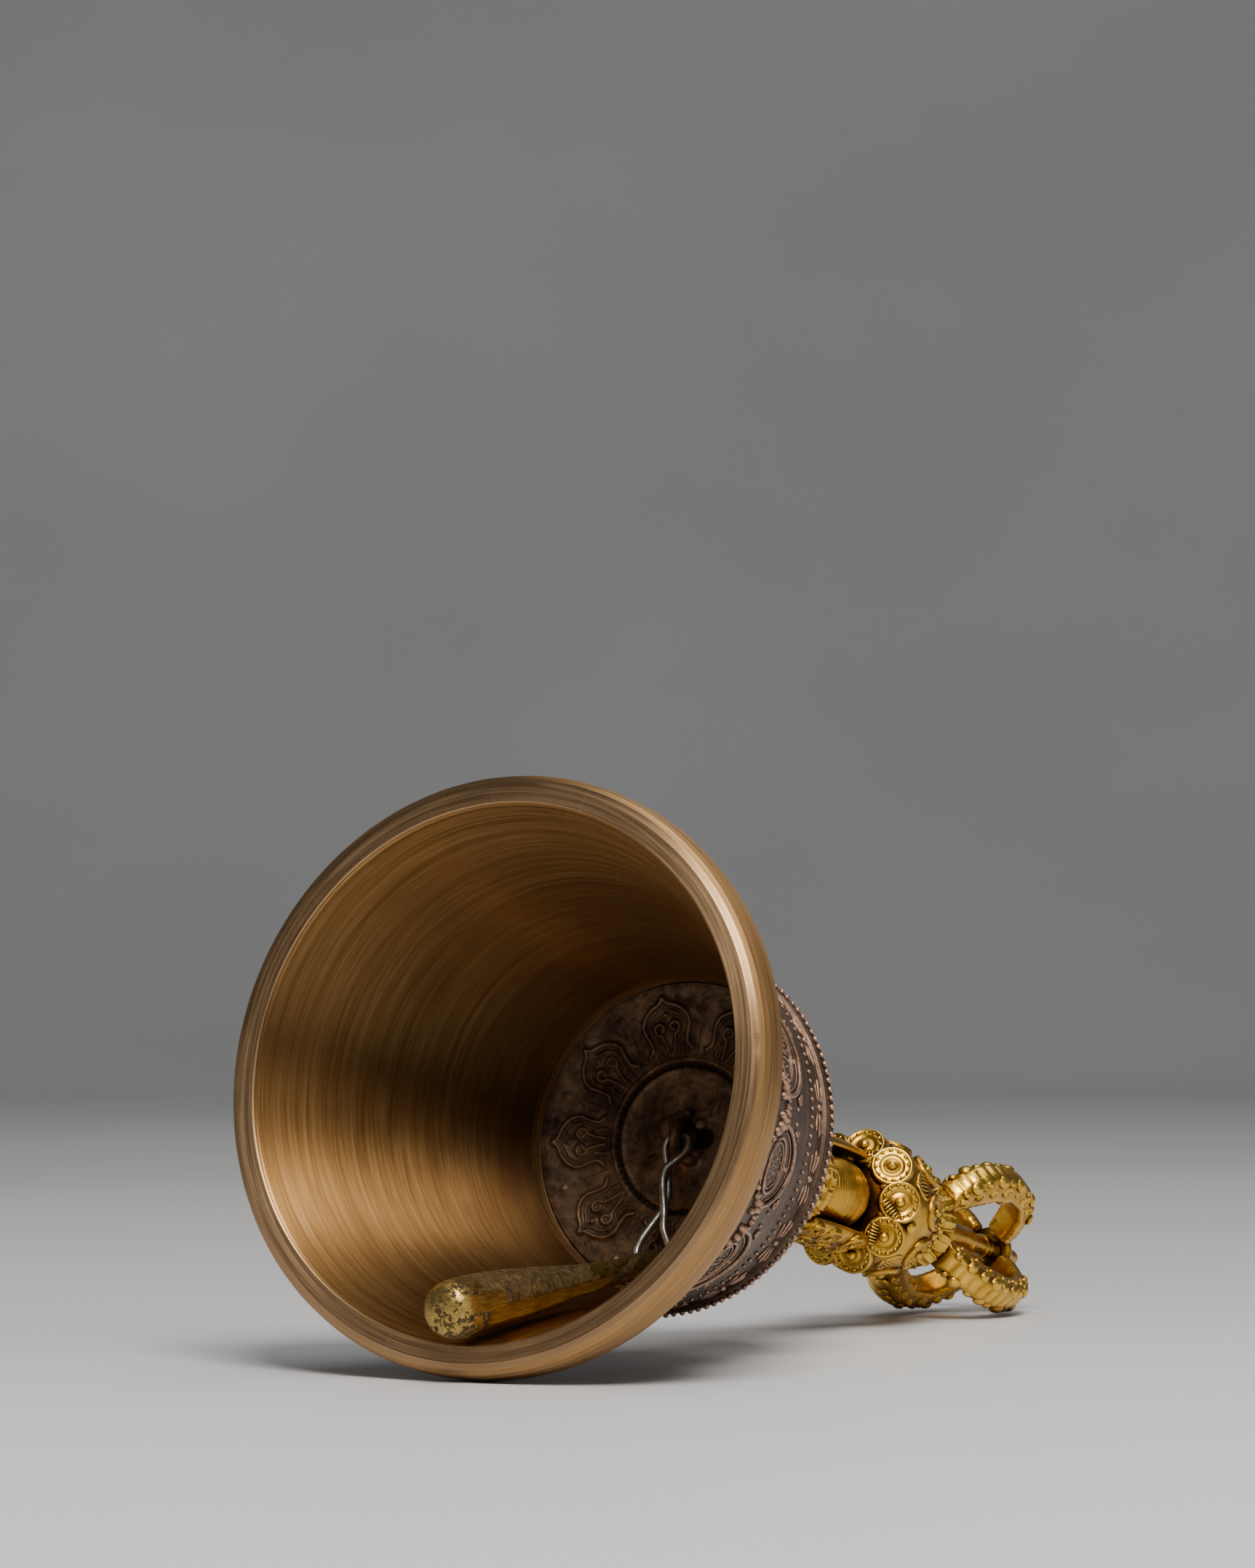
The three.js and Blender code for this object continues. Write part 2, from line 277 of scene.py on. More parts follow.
def segment_distance(u, v, path):
    """Distance of each point to a chain of short straight lines."""
    best = np.full(u.shape, 1e9)
    path = np.asarray(path, float)
    for (ax, ay), (bx, by) in zip(path[:-1], path[1:]):
        dx, dy = bx - ax, by - ay
        t = unit(((u - ax) * dx + (v - ay) * dy) / (dx * dx + dy * dy + 1e-12))
        best = np.minimum(best, np.hypot(u - ax - t * dx, v - ay - t * dy))
    return best


def lumps(shape_a, shape_b, scale, seed):
    """Smooth unevenness over a turned surface, without a seam."""
    source = np.random.default_rng(seed)
    waves = 14
    out = 0.0
    for _ in range(waves):
        turns = source.integers(1, 9)
        rate = source.uniform(0.4, 2.2) * scale
        out = out + np.sin(shape_a * turns + source.uniform(0, 6.3)) * np.sin(
            shape_b * rate + source.uniform(0, 6.3)) * source.uniform(0.3, 1.0)
    return out / waves * 2.2


def spiral(cx, cy, start, turns, outer, inner, count, hand=1):
    """A curl about (cx, cy); the start is in degrees."""
    t = np.linspace(0, 1, count)
    angle = math.radians(start) + hand * turns * 2 * math.pi * t
    radius = outer + (inner - outer) * t
    return np.stack([cx + radius * np.cos(angle), cy + radius * np.sin(angle)], axis=1)


# ---------------------------------------------------------------- materials

class Material:
    """A material with one principled shader, and short names for the nodes that the finishes share."""

    def __init__(self, name):
        self.data = bpy.data.materials.new(name)
        self.data.use_nodes = True
        self.tree = self.data.node_tree
        self.tree.nodes.clear()
        output = self.node("OutputMaterial")
        self.shader = self.node("BsdfPrincipled")
        self.feed(output.inputs[0], self.shader.outputs[0])

    def node(self, kind):
        return self.tree.nodes.new("ShaderNode" + kind)

    def feed(self, socket, value):
        """Sets a number or a colour on the socket, or links another node's output to it."""
        if isinstance(value, (int, float)):
            socket.default_value = value
        elif isinstance(value, tuple):
            socket.default_value = (*value, 1.0)
        elif value is not None:
            self.tree.links.new(value, socket)

    def attribute(self, name, output="Fac"):
        node = self.node("Attribute")
        node.attribute_name = name
        return node.outputs[output]

    def math(self, operation, a, b=None, c=None, clamp=False):
        node = self.node("Math")
        node.operation = operation
        node.use_clamp = clamp
        for socket, value in zip(node.inputs, (a, b, c)):
            self.feed(socket, value)
        return node.outputs[0]

    def add(self, a, b):
        return self.math("ADD", a, b)

    def minus(self, a, b):
        return self.math("SUBTRACT", a, b)

    def times(self, a, b):
        return self.math("MULTIPLY", a, b)

    def share(self, a, part, b):
        """A blend of two values, with the given part of the first."""
        return self.add(self.times(a, part), self.times(b, 1 - part))

    def noise(self, scale, detail, roughness, distortion=0.0, vector=None):
        node = self.node("TexNoise")
        self.feed(node.inputs["Vector"], vector or self.attribute("place", "Vector"))
        for name, value in (("Scale", scale), ("Detail", detail), ("Roughness", roughness),
                            ("Distortion", distortion)):
            node.inputs[name].default_value = value
        return node.outputs["Fac"]

    def coords(self):
        split = self.node("SeparateXYZ")
        self.feed(split.inputs[0], self.attribute("place", "Vector"))
        return split.outputs

    def turned(self, around_rate, along_rate, detail, roughness):
        """Noise for turned metal: slow round the axis and quick along the profile. Rates per metre."""
        x, y, z = self.coords()
        radius = self.math("SQRT", self.add(self.times(x, x), self.math("MULTIPLY_ADD", y, y, 1e-9)))
        join = self.node("CombineXYZ")
        self.feed(join.inputs[0], self.times(self.math("DIVIDE", x, radius), around_rate))
        self.feed(join.inputs[1], self.times(self.math("DIVIDE", y, radius), around_rate))
        self.feed(join.inputs[2], self.times(self.minus(z, self.times(radius, 0.7)), along_rate))
        return self.noise(1.0, detail, roughness, 0.0, join.outputs[0])

    def ramp(self, value, *stops):
        node = self.node("ValToRGB")
        elements = node.color_ramp.elements
        while len(elements) < len(stops):
            elements.new(0.5)
        for element, (position, color) in zip(elements, stops):
            element.position = position
            element.color = (*color, 1.0)
        self.feed(node.inputs[0], value)
        return node.outputs[0]

    def span(self, value, low, high, a=0.0, b=1.0):
        """Maps low..high to a..b and clamps."""
        node = self.node("MapRange")
        for socket, entry in zip(node.inputs, (value, low, high, a, b)):
            self.feed(socket, entry)
        return node.outputs[0]

    def mix(self, factor, a, b):
        node = self.node("Mix")
        node.data_type = "RGBA"
        for index, value in ((0, factor), (6, a), (7, b)):
            self.feed(node.inputs[index], value)
        return node.outputs[2]

    def finish(self, color, metallic, rough, layers, aniso=None):
        """Fills the shader; bump layers are (height, distance in metres, strength), finest last."""
        inputs = self.shader.inputs
        self.feed(inputs["Base Color"], color)
        self.feed(inputs["Metallic"], metallic)
        self.feed(inputs["Roughness"], rough)
        previous = None
        for height, distance, strength in layers:
            node = self.node("Bump")
            node.inputs["Strength"].default_value = strength
            node.inputs["Distance"].default_value = distance
            self.feed(node.inputs["Height"], height)
            self.feed(node.inputs["Normal"], previous)
            previous = node.outputs[0]
        self.feed(inputs["Normal"], previous)
        if aniso is not None:
            # Turning lines run round the axis, so highlights spread across them.
            self.feed(inputs["Tangent"], self.attribute("sweep", "Vector"))
            inputs["Anisotropic"].default_value = aniso
            inputs["Anisotropic Rotation"].default_value = 0.25
        return self.data


def turned_bronze(name, colors, rough, aniso, stain_and_shade, broad=0.5):
    """Bronze from the lathe, with lines of three widths; broad is the part of the colour in the widest."""
    m = Material(name)
    dark, mid, light = colors
    wide = m.turned(0.7, 900.0, 4.0, 0.6)
    fine = m.turned(2.6, 2600.0, 4.0, 0.7)
    hair = m.turned(5.0, 9000.0, 2.0, 0.6)
    cloud = m.noise(42.0, 4.0, 0.6, 0.6)
    color = m.ramp(m.share(wide, broad, fine), (0.32, dark), (0.5, mid), (0.70, light))
    color = m.mix(m.span(cloud, 0.45, 0.75, 0.0, 0.35), color, dark)
    if stain_and_shade is not None:
        color = stain_and_shade(m, color)
    return m.finish(color, 1.0, m.span(m.share(fine, 0.5, cloud), 0.35, 0.65, *rough),
                    [(wide, 0.00005, 0.21), (fine, 0.00003, 0.48), (hair, 0.00001, 0.36)], aniso)


def inside_shade_and_bloom(m, color):
    """Painted shade: darker brown metal deeper in the bell towards the ceiling; and a dull greenish bloom low
    down, where the clapper lies.
    """
    _, y, z = m.coords()
    patch = m.span(m.noise(160.0, 5.0, 0.65, 1.2), 0.5, 0.68)
    bloom = m.times(m.times(m.span(y, -0.020, -0.037), m.span(z, 0.012, 0.034)), m.times(patch, 0.75))
    # Painted shade: the colour darkens deeper into the bell, towards the ceiling.
    cloud = m.span(m.noise(26.0, 3.0, 0.5, 0.8), 0.35, 0.65, -0.15, 0.25)
    depth = m.math("ADD", m.span(z, 0.010, 0.066, 0.0, 0.85), cloud, None, True)
    return m.mix(bloom, m.mix(depth, color, (0.125, 0.058, 0.02)), (0.135, 0.105, 0.045))


def scratched_bronze():
    """The mouth face: turned lines with small scratches across them."""
    m = Material("scratched_bronze_face")
    fine = m.turned(2.2, 3200.0, 3.0, 0.6)
    wide = m.turned(1.0, 700.0, 3.0, 0.6)
    across = m.turned(160.0, 120.0, 2.0, 0.5)
    cloud = m.noise(70.0, 4.0, 0.6, 0.4)
    color = m.ramp(m.share(fine, 0.55, wide), (0.34, (0.29, 0.17, 0.082)), (0.5, (0.40, 0.245, 0.122)),
                   (0.68, (0.50, 0.325, 0.175)))
    color = m.mix(m.span(cloud, 0.42, 0.75, 0.0, 0.3), color, (0.26, 0.165, 0.09))
    color = m.mix(m.times(m.span(across, 0.66, 0.72), 0.22), color, (0.66, 0.50, 0.34))
    return m.finish(color, 1.0, m.span(fine, 0.3, 0.7, 0.34, 0.52),
                    [(wide, 0.00004, 0.4), (fine, 0.00003, 0.9), (across, 0.00003, 0.2)], 0.6)


def patina_bronze():
    """Dark brown patina with copper tops where the relief stands up: partly rubbed wear, partly a painted
    highlight.
    """
    m = Material("patinated_bronze")
    cloud = m.noise(120.0, 6.0, 0.65, 0.5)
    grain = m.noise(1500.0, 4.0, 0.7)
    lines = m.turned(2.4, 1500.0, 3.0, 0.6)
    ground = m.ramp(m.share(cloud, 0.6, lines), (0.34, (0.045, 0.026, 0.017)),
                    (0.5, (0.115, 0.072, 0.048)), (0.68, (0.20, 0.132, 0.09)))
    # Copper on the raised tops: partly rubbed wear, partly a painted highlight.
    rub_and_highlight = m.ramp(grain, (0.35, (0.30, 0.165, 0.10)), (0.6, (0.56, 0.34, 0.225)))
    wear_and_highlight = m.span(m.add(m.attribute("relief"), m.times(grain, 0.35)), 0.55, 0.98)
    rough = m.minus(m.span(grain, 0.3, 0.7, 0.42, 0.6), m.times(wear_and_highlight, 0.12))
    return m.finish(m.mix(wear_and_highlight, ground, rub_and_highlight), 0.85, rough,
                    [(cloud, 0.00015, 0.35), (lines, 0.00004, 0.4), (grain, 0.00005, 0.5)])


def cast_patina():
    """The rough cast ceiling: dark brown mottled with tan and orange, nearly black in the grooves."""
    m = Material("mottled_cast_bronze")
    relief = m.attribute("relief")
    big = m.noise(90.0, 6.0, 0.65, 0.8)
    spot = m.noise(420.0, 5.0, 0.7, 0.6)
    grain = m.noise(1900.0, 4.0, 0.7)
    color = m.ramp(m.share(big, 0.55, spot), (0.37, (0.030, 0.019, 0.013)), (0.46, (0.095, 0.058, 0.034)),
                   (0.54, (0.185, 0.118, 0.07)), (0.66, (0.30, 0.20, 0.118)))
    warm = m.span(m.noise(260.0, 4.0, 0.6, 1.5), 0.58, 0.68)
    color = m.mix(m.times(warm, 0.3), color, (0.34, 0.165, 0.055))
    groove = m.span(relief, -0.05, -0.45)
    color = m.mix(m.times(groove, 0.88), color, (0.013, 0.009, 0.007))
    top = m.span(m.times(relief, m.add(spot, 0.4)), 0.25, 0.9, 0.0, 0.6)
    return m.finish(m.mix(top, color, (0.38, 0.255, 0.165)), 0.7, m.span(spot, 0.35, 0.65, 0.66, 0.42),
                    [(big, 0.0004, 0.3), (spot, 0.00022, 0.5), (grain, 0.00008, 0.6)])


def gilt_brass(name="gilt_brass", turned=False):
    """Bright gilt brass, with painted shade that turns it brown gold in the recesses."""
    m = Material(name)
    cloud = m.noise(220.0, 5.0, 0.6, 0.4)
    grain = m.noise(1600.0, 4.0, 0.65)
    # Painted shade: ambient occlusion, with some of the relief value, darkens the gilt to brown gold in
    # recesses and between parts.
    shade = m.node("AmbientOcclusion")
    shade.samples = 6
    shade.inputs["Distance"].default_value = 0.0022
    depth = m.share(shade.outputs["AO"], 0.8, m.attribute("relief"))
    depth = m.add(depth, m.times(m.minus(cloud, 0.5), 0.5))
    color = m.ramp(depth, (0.34, (0.075, 0.032, 0.004)), (0.60, (0.33, 0.150, 0.015)),
                   (0.84, (0.62, 0.350, 0.042)), (1.0, (0.81, 0.525, 0.085)))
    layers = [(cloud, 0.00018, 0.3), (grain, 0.00006, 0.55)]
    if turned:
        lines = m.turned(1.2, 1500.0, 3.0, 0.6)
        layers = [(cloud, 0.0001, 0.15), (lines, 0.0001, 0.8), (grain, 0.00003, 0.3)]
    return m.finish(color, 1.0, m.span(grain, 0.3, 0.7, 0.24, 0.40), layers, 0.4 if turned else None)


def cast_clapper():
    """Sandy cast skin, with bright filed flats where the relief value is one."""
    m = Material("cast_and_filed_brass")
    big = m.noise(260.0, 6.0, 0.7, 0.4)
    pit = m.noise(900.0, 5.0, 0.75)
    grain = m.noise(3600.0, 3.0, 0.7)
    ragged = m.minus(m.add(big, pit), 1.0)
    clean = m.span(m.add(m.attribute("relief"), m.times(ragged, 2.0)), 0.45, 0.60)
    skin = m.ramp(m.share(big, 0.3, pit), (0.36, (0.035, 0.023, 0.011)), (0.48, (0.125, 0.082, 0.036)),
                  (0.58, (0.25, 0.170, 0.066)), (0.7, (0.42, 0.29, 0.10)))
    stretch = m.node("Mapping")
    stretch.inputs["Scale"].default_value = (1.0, 1.0, 0.12)
    stretch.inputs["Rotation"].default_value = (0.25, 0.1, 0.5)
    m.feed(stretch.inputs[0], m.attribute("place", "Vector"))
    marks = m.noise(2600.0, 3.0, 0.6, 0.0, stretch.outputs[0])
    bright = m.ramp(marks, (0.35, (0.29, 0.178, 0.046)), (0.6, (0.50, 0.345, 0.104)))
    rough = m.minus(m.span(pit, 0.3, 0.7, 0.62, 0.42), m.times(clean, 0.1))
    return m.finish(m.mix(clean, skin, bright), m.span(clean, 0.0, 1.0, 0.75, 1.0), rough,
                    [(m.times(pit, m.minus(1.0, clean)), 0.0004, 0.8),
                     (m.times(grain, m.minus(1.1, clean)), 0.00012, 0.8),
                     (m.times(marks, clean), 0.00006, 0.7)])


def galvanised():
    m = Material("galvanised_steel")
    cloud = m.noise(500.0, 5.0, 0.65, 0.5)
    color = m.ramp(cloud, (0.32, (0.16, 0.145, 0.13)), (0.5, (0.42, 0.41, 0.39)), (0.66, (0.62, 0.61, 0.60)))
    return m.finish(color, 0.95, m.span(cloud, 0.35, 0.65, 0.46, 0.30),
                    [(cloud, 0.0001, 0.3), (m.noise(2800.0, 3.0, 0.6), 0.00004, 0.5)])


inner_bronze = turned_bronze(
    "turned_bronze_inside", ((0.20, 0.098, 0.030), (0.36, 0.195, 0.066), (0.52, 0.315, 0.125)),
    (0.38, 0.48), 0.93, inside_shade_and_bloom)
lip_bronze = turned_bronze(
    "brushed_bronze_lip", ((0.27, 0.146, 0.055), (0.39, 0.222, 0.089), (0.50, 0.303, 0.132)),
    (0.38, 0.50), 0.62, None, 0.15)
face_bronze = scratched_bronze()
wall_patina = patina_bronze()
ceiling_patina = cast_patina()
gilt = gilt_brass()
gilt_turned = gilt_brass("gilt_brass_turned", True)
clapper_metal = cast_clapper()
steel = galvanised()


# ---------------------------------------------------------------- bell casting

CROWN_IN, MOUTH_IN, WALL_END = 26.6, 42.1, 64.0
CEILING_EDGE = 25.6


def inner_r(station):
    rest = np.maximum(0.0, 1 - np.asarray(station, float) / WALL_END)
    return CROWN_IN + (MOUTH_IN - CROWN_IN) * rest ** 1.3


def outer_r(station):
    rest = np.maximum(0.0, 1 - np.asarray(station, float) / WALL_END)
    return inner_r(station) + 1.7 + 1.5 * rest ** 2


def ceiling_at(radius):
    return 67.0 - 2.2 * (np.asarray(radius, float) / 24.4) ** 2


def dome(angle):
    """Outside of the crown, from the shoulder (0) to the flat top (90 degrees)."""
    return 9.0 + 19.8 * np.cos(angle), 61.5 + 9.5 * np.sin(angle)


def bell_outline():
    """The closed outline of the plain turned part, from the mouth inwards and back over the outside."""
    wall = [(float(inner_r(s)), s) for s in np.linspace(0.75, 61.8, 60)]
    fillet = [(26.62, 63.0), (26.45, 64.0), (26.1, 64.8), (25.6, 65.3), (24.8, 65.45)]
    inside = [(42.1, 0.22), (42.16, 0.5)] + wall + fillet
    hidden = [(24.4, 66.4), (2.6, 68.2), (2.6, 70.9), (9.0, 70.9)]
    crown = [(r - 0.15, s - 0.15) for r, s in map(dome, np.radians(np.linspace(88, 2, 12)))]
    shoulder = [(29.6, 60.9), (29.6, 58.4)]
    outer = [(float(outer_r(s)) - 0.25, s) for s in np.linspace(58.0, 9.4, 30)]
    lip = [(45.3, 8.7), (45.55, 8.1), (46.2, 7.75), (46.7, 7.2), (46.95, 6.0), (47.0, 4.4), (46.9, 2.6),
           (46.6, 1.4), (46.12, 0.62), (46.0, 0.5)]
    profile = tight(inside + hidden + crown + shoulder + outer + lip, 0.07)
    face = tight([(46.0, 0.5), (45.85, 0.38), (45.06, 0.06), (45.0, 0.0), (42.34, 0.0), (42.1, 0.22)], 0.05)
    return np.vstack([profile, face[1:-1]])


def bell_casting():
    """The turned casting, with a nick in the lip and one finish for each zone."""
    loop = bell_outline()
    phi = azimuths(256)[None, :]
    radius, station = loop[:, :1], loop[:, 1:2]
    is_lip = ((radius > 46.2) & (station < 7.4)).astype(float)
    nick = hump(phi, math.radians(6), 0.006) * ((radius > 45.7) & (station < 0.7)) * 0.22
    wave = 0.012 * np.sin(phi * 41 + station * 0.4) * is_lip
    points = around(phi, radius - nick + wave, station + nick * 0.6 + 0 * phi)
    part = grid_part(points, None, loop_rows=True)
    piece = make("bell_casting", [part], inner_bronze, "bell", replaces=("bell_shell",))
    mesh = piece.data
    for look in (lip_bronze, face_bronze, wall_patina, ceiling_patina):
        mesh.materials.append(look)
    turned_inside, lip, face, skin, ceiling = range(5)
    index = np.full(len(mesh.polygons), skin, np.int32)
    centres = np.zeros(len(mesh.polygons) * 3)
    mesh.polygons.foreach_get("center", centres)
    centres = (centres.reshape(-1, 3) - np.array(BELL.translation)) @ np.array(BELL.to_3x3()) * 1000
    r, s = np.hypot(centres[:, 0], centres[:, 1]), centres[:, 2]
    index[r < inner_r(s) + 0.35] = turned_inside
    # Painted highlight: the fillet at the foot of the ceiling takes the lighter lip finish, outside the
    # painted shade of the inside finish.
    index[(s > 62.8) & (r < 27.2)] = lip
    index[(s > 65.0) & (r < 27.2)] = ceiling
    index[(r > 45.2) & (s < 8.4)] = lip
    index[(s < 0.5) & (r > 42.1)] = face
    mesh.polygons.foreach_set("material_index", index)


bell_casting()


# ---------------------------------------------------------------- ceiling of the crown

def petal_lines():
    """The lines of half a petal, as (sideways, radius) pairs, each with its width and height."""
    outer = catmull([(0.0, 23.6), (0.7, 22.6), (2.3, 21.9), (3.7, 20.6), (4.2, 18.9), (3.6, 17.2),
                     (3.2, 15.6), (3.9, 14.4)], 22)
    inner = catmull([(0.0, 22.3), (0.9, 21.3), (2.2, 20.6), (2.9, 19.6), (3.1, 18.4), (2.5, 17.2),
                     (2.1, 16.2)], 18)
    volute = spiral(1.25, 18.6, -90, 0.95, 1.15, 0.45, 18)
    bar = [(0.5, 14.4), (0.75, 15.8), (1.25, 17.45)]
    side_bar = [(1.9, 14.2), (2.1, 15.2), (1.75, 16.1)]
    return ((outer, 0.48, 0.85), (inner, 0.34, 0.6), (volute, 0.46, 0.8), (bar, 0.46, 0.75),
            (side_bar, 0.4, 0.6))


def crown_ceiling():
    """The cast ceiling: a ring of petals, a grooved ring round the staple, and lumps in the middle."""
    cols = 768
    first_petal, pitch = math.radians(103.3), 2 * math.pi / 9
    radii = np.concatenate([[2.7], np.linspace(3.0, 11.3, 36), np.linspace(11.45, 24.6, 84),
                            [24.9, 25.2, 25.45, CEILING_EDGE]])
    phi = azimuths(cols)[None, :]
    radius = radii[:, None] + 0 * phi
    phi = phi + 0 * radius
    local = (phi - first_petal + pitch / 2) % pitch - pitch / 2
    au, v = np.abs(radius * np.sin(local)), radius * np.cos(local)
    near = (radius > 13.2) & (radius < 24.4)
    shape, halo = np.zeros((2, *radius.shape))
    for line, width, rise in petal_lines():
        gap = segment_distance(au, v, line)
        shape = np.maximum(shape, ridge(gap, width, rise))
        halo = np.maximum(halo, ridge(gap, width * 2.1, 1.0))
    shape = np.maximum(shape, ridge(np.hypot(au, v - 20.7), 0.62, 0.8))
    between = np.abs((phi - first_petal) % pitch - pitch / 2) * radius
    shape = np.maximum(shape, ridge(np.hypot(between, radius - 22.8), 0.55, 0.45))
    shape = np.maximum(shape, ridge(segment_distance(between, radius, [(0, 15.0), (0, 18.5)]), 0.3, 0.3))
    weak = 0.75 + 0.35 * lumps(phi, radius, 0.6, 3)
    height = shape * near * np.clip(weak, 0.35, 1.1)
    height -= 0.42 * hump(radius, 12.3, 0.42)
    height += 0.2 * hump(radius, 13.1, 0.35) + 0.16 * hump(radius, 11.5, 0.35)
    height += 0.1 * (np.cos(phi * 72) * hump(radius, 12.35, 0.55))
    flat_x, flat_y = radius * np.cos(phi), radius * np.sin(phi)
    for turn, distance, size in ((152, 3.3, 1.7), (-74, 3.5, 1.9), (38, 3.4, 1.1)):
        a = math.radians(turn)
        gap = np.hypot(flat_x - distance * math.cos(a), flat_y - distance * math.sin(a))
        height += np.exp(-(gap / size) ** 4)
    height += 0.10 * lumps(phi * 2, radius, 0.9, 5) + 0.04 * lumps(phi * 5, radius, 1.6, 8)
    pit = np.exp(-(np.hypot(flat_x - 3.3, flat_y - 0.2) / 1.5) ** 4)
    height -= 0.7 * pit
    halo = unit(halo - shape) * near * np.clip(weak, 0.35, 1.0)
    mask = np.clip(height / 0.6 - 0.8 * halo - pit, -1, 1)
    height -= 0.16 * halo
    fade = unit((CEILING_EDGE - radius) / 0.9)
    height *= fade
    station = ceiling_at(radius) - 0.15 * fade - height
    top = around(phi, radius, station)
    back = [around(phi[0], r, float(ceiling_at(r)) + 1.0) for r in (CEILING_EDGE, 2.7)]
    part = grid_part(np.vstack([top, back]), np.vstack([mask, np.zeros((2, cols))]), loop_rows=True)
    make("crown_ceiling", [part], ceiling_patina, "bell")


crown_ceiling()


# ---------------------------------------------------------------- outside of the wall

def wall_profile():
    stations = np.concatenate([np.linspace(9.0, 58.2, 100), [58.5, 58.9, 59.4, 60.2, 60.7]])
    radii = outer_r(stations)
    ring = unit((stations - 58.3) / 0.6)
    radii = radii * (1 - ring) + 29.75 * ring
    top = [dome(a) for a in np.radians(np.linspace(2, 86, 34))]
    r = np.concatenate([radii, [29.5], [p[0] for p in top]])
    s = np.concatenate([stations, [61.2], [p[1] for p in top]])
    return np.stack([r, s], axis=1)


WALL = wall_profile()
WALL_N = normals_2d(WALL)


def on_wall(azimuth, station, height=0.0):
    return on_profile(azimuth, station, WALL[:, 1], WALL, WALL_N, height)


def wall_skin():
    """The dark outer skin of the wall and the dome, with petals round the dome."""
    cols = 576
    phi = azimuths(cols)[None, :] + 0 * WALL[:, :1]
    r, s = WALL[:, :1], WALL[:, 1:2]
    height = 0.03 * lumps(phi * 2, s, 0.5, 11) + 0.012 * lumps(phi * 6, s, 2.0, 12)
    height += 0.28 * hump(s, 9.9, 0.45) + 0.22 * hump(s, 20.2, 0.4)
    height += 0.12 * hump(s, 12.2, 0.3)
    run = unit((28.4 - r) / 17.5) * (s > 61.5)
    petal = math.pi / 16
    local = (phi + petal) % (2 * petal) - petal
    half = petal * np.clip(1 - (unit(run) * 1.02 - 0.1) ** 2 * 0.25, 0.2, 1)
    inside = unit(1 - np.abs(local) / half)
    rim = hump(inside, 0.12, 0.10)
    leaf = (0.75 * inside ** 0.6 * 0.55 + 0.3 * rim) * unit(run * 9) * unit((1 - run) * 7)
    vein = 0.16 * hump(local * r, 0, 0.35) * (run > 0.12) * (run < 0.8)
    height = height + leaf * 0.7 + vein + 0.3 * hump(r, 10.6, 0.5) * (s > 66)
    top = around(phi, r + WALL_N[:, :1] * height, s + WALL_N[:, 1:2] * height)
    under = (WALL - WALL_N * 0.6)[::-1]
    under = np.vstack([under[::9], under[-1:]])
    points = np.vstack([top, around(phi[:1], under[:, :1], under[:, 1:2])])
    mask = np.vstack([unit(height / 0.5) * 0.75, np.zeros((len(under), cols))])
    make("wall_skin", [grid_part(points, mask, loop_rows=True)], wall_patina, "bell")


wall_skin()


def wall_path(azimuth, centre, pairs):
    """Azimuths and stations of (sideways, along) pairs in millimetres about a centre on the wall."""
    pairs = np.asarray(pairs, float)
    station = centre + pairs[:, 1]
    return azimuth + pairs[:, 0] / np.interp(station, WALL[:, 1], WALL[:, 0]), station


def wall_tube(azimuth, centre, pairs, radius, height, loop=False, sides=7, flatten=1.0, value=0.8):
    point, normal = on_wall(*wall_path(azimuth, centre, pairs), height)
    return tube(point, radius, sides, loop, normal, flatten, value)


def wall_bead(azimuth, centre, u, v, radius, height, stretch=1.0, value=1.0, rings=5, sides=8):
    point, normal = on_wall(*wall_path(azimuth, centre, [(u, v)]))
    return bead(point[0], normal[0], radius, height, None, stretch, rings, sides, value)


def ellipse(a, b, start, stop, count, closed=False):
    t = np.radians(np.linspace(start, stop, count, endpoint=not closed))
    return np.stack([a * np.sin(t), b * np.cos(t)], axis=1)


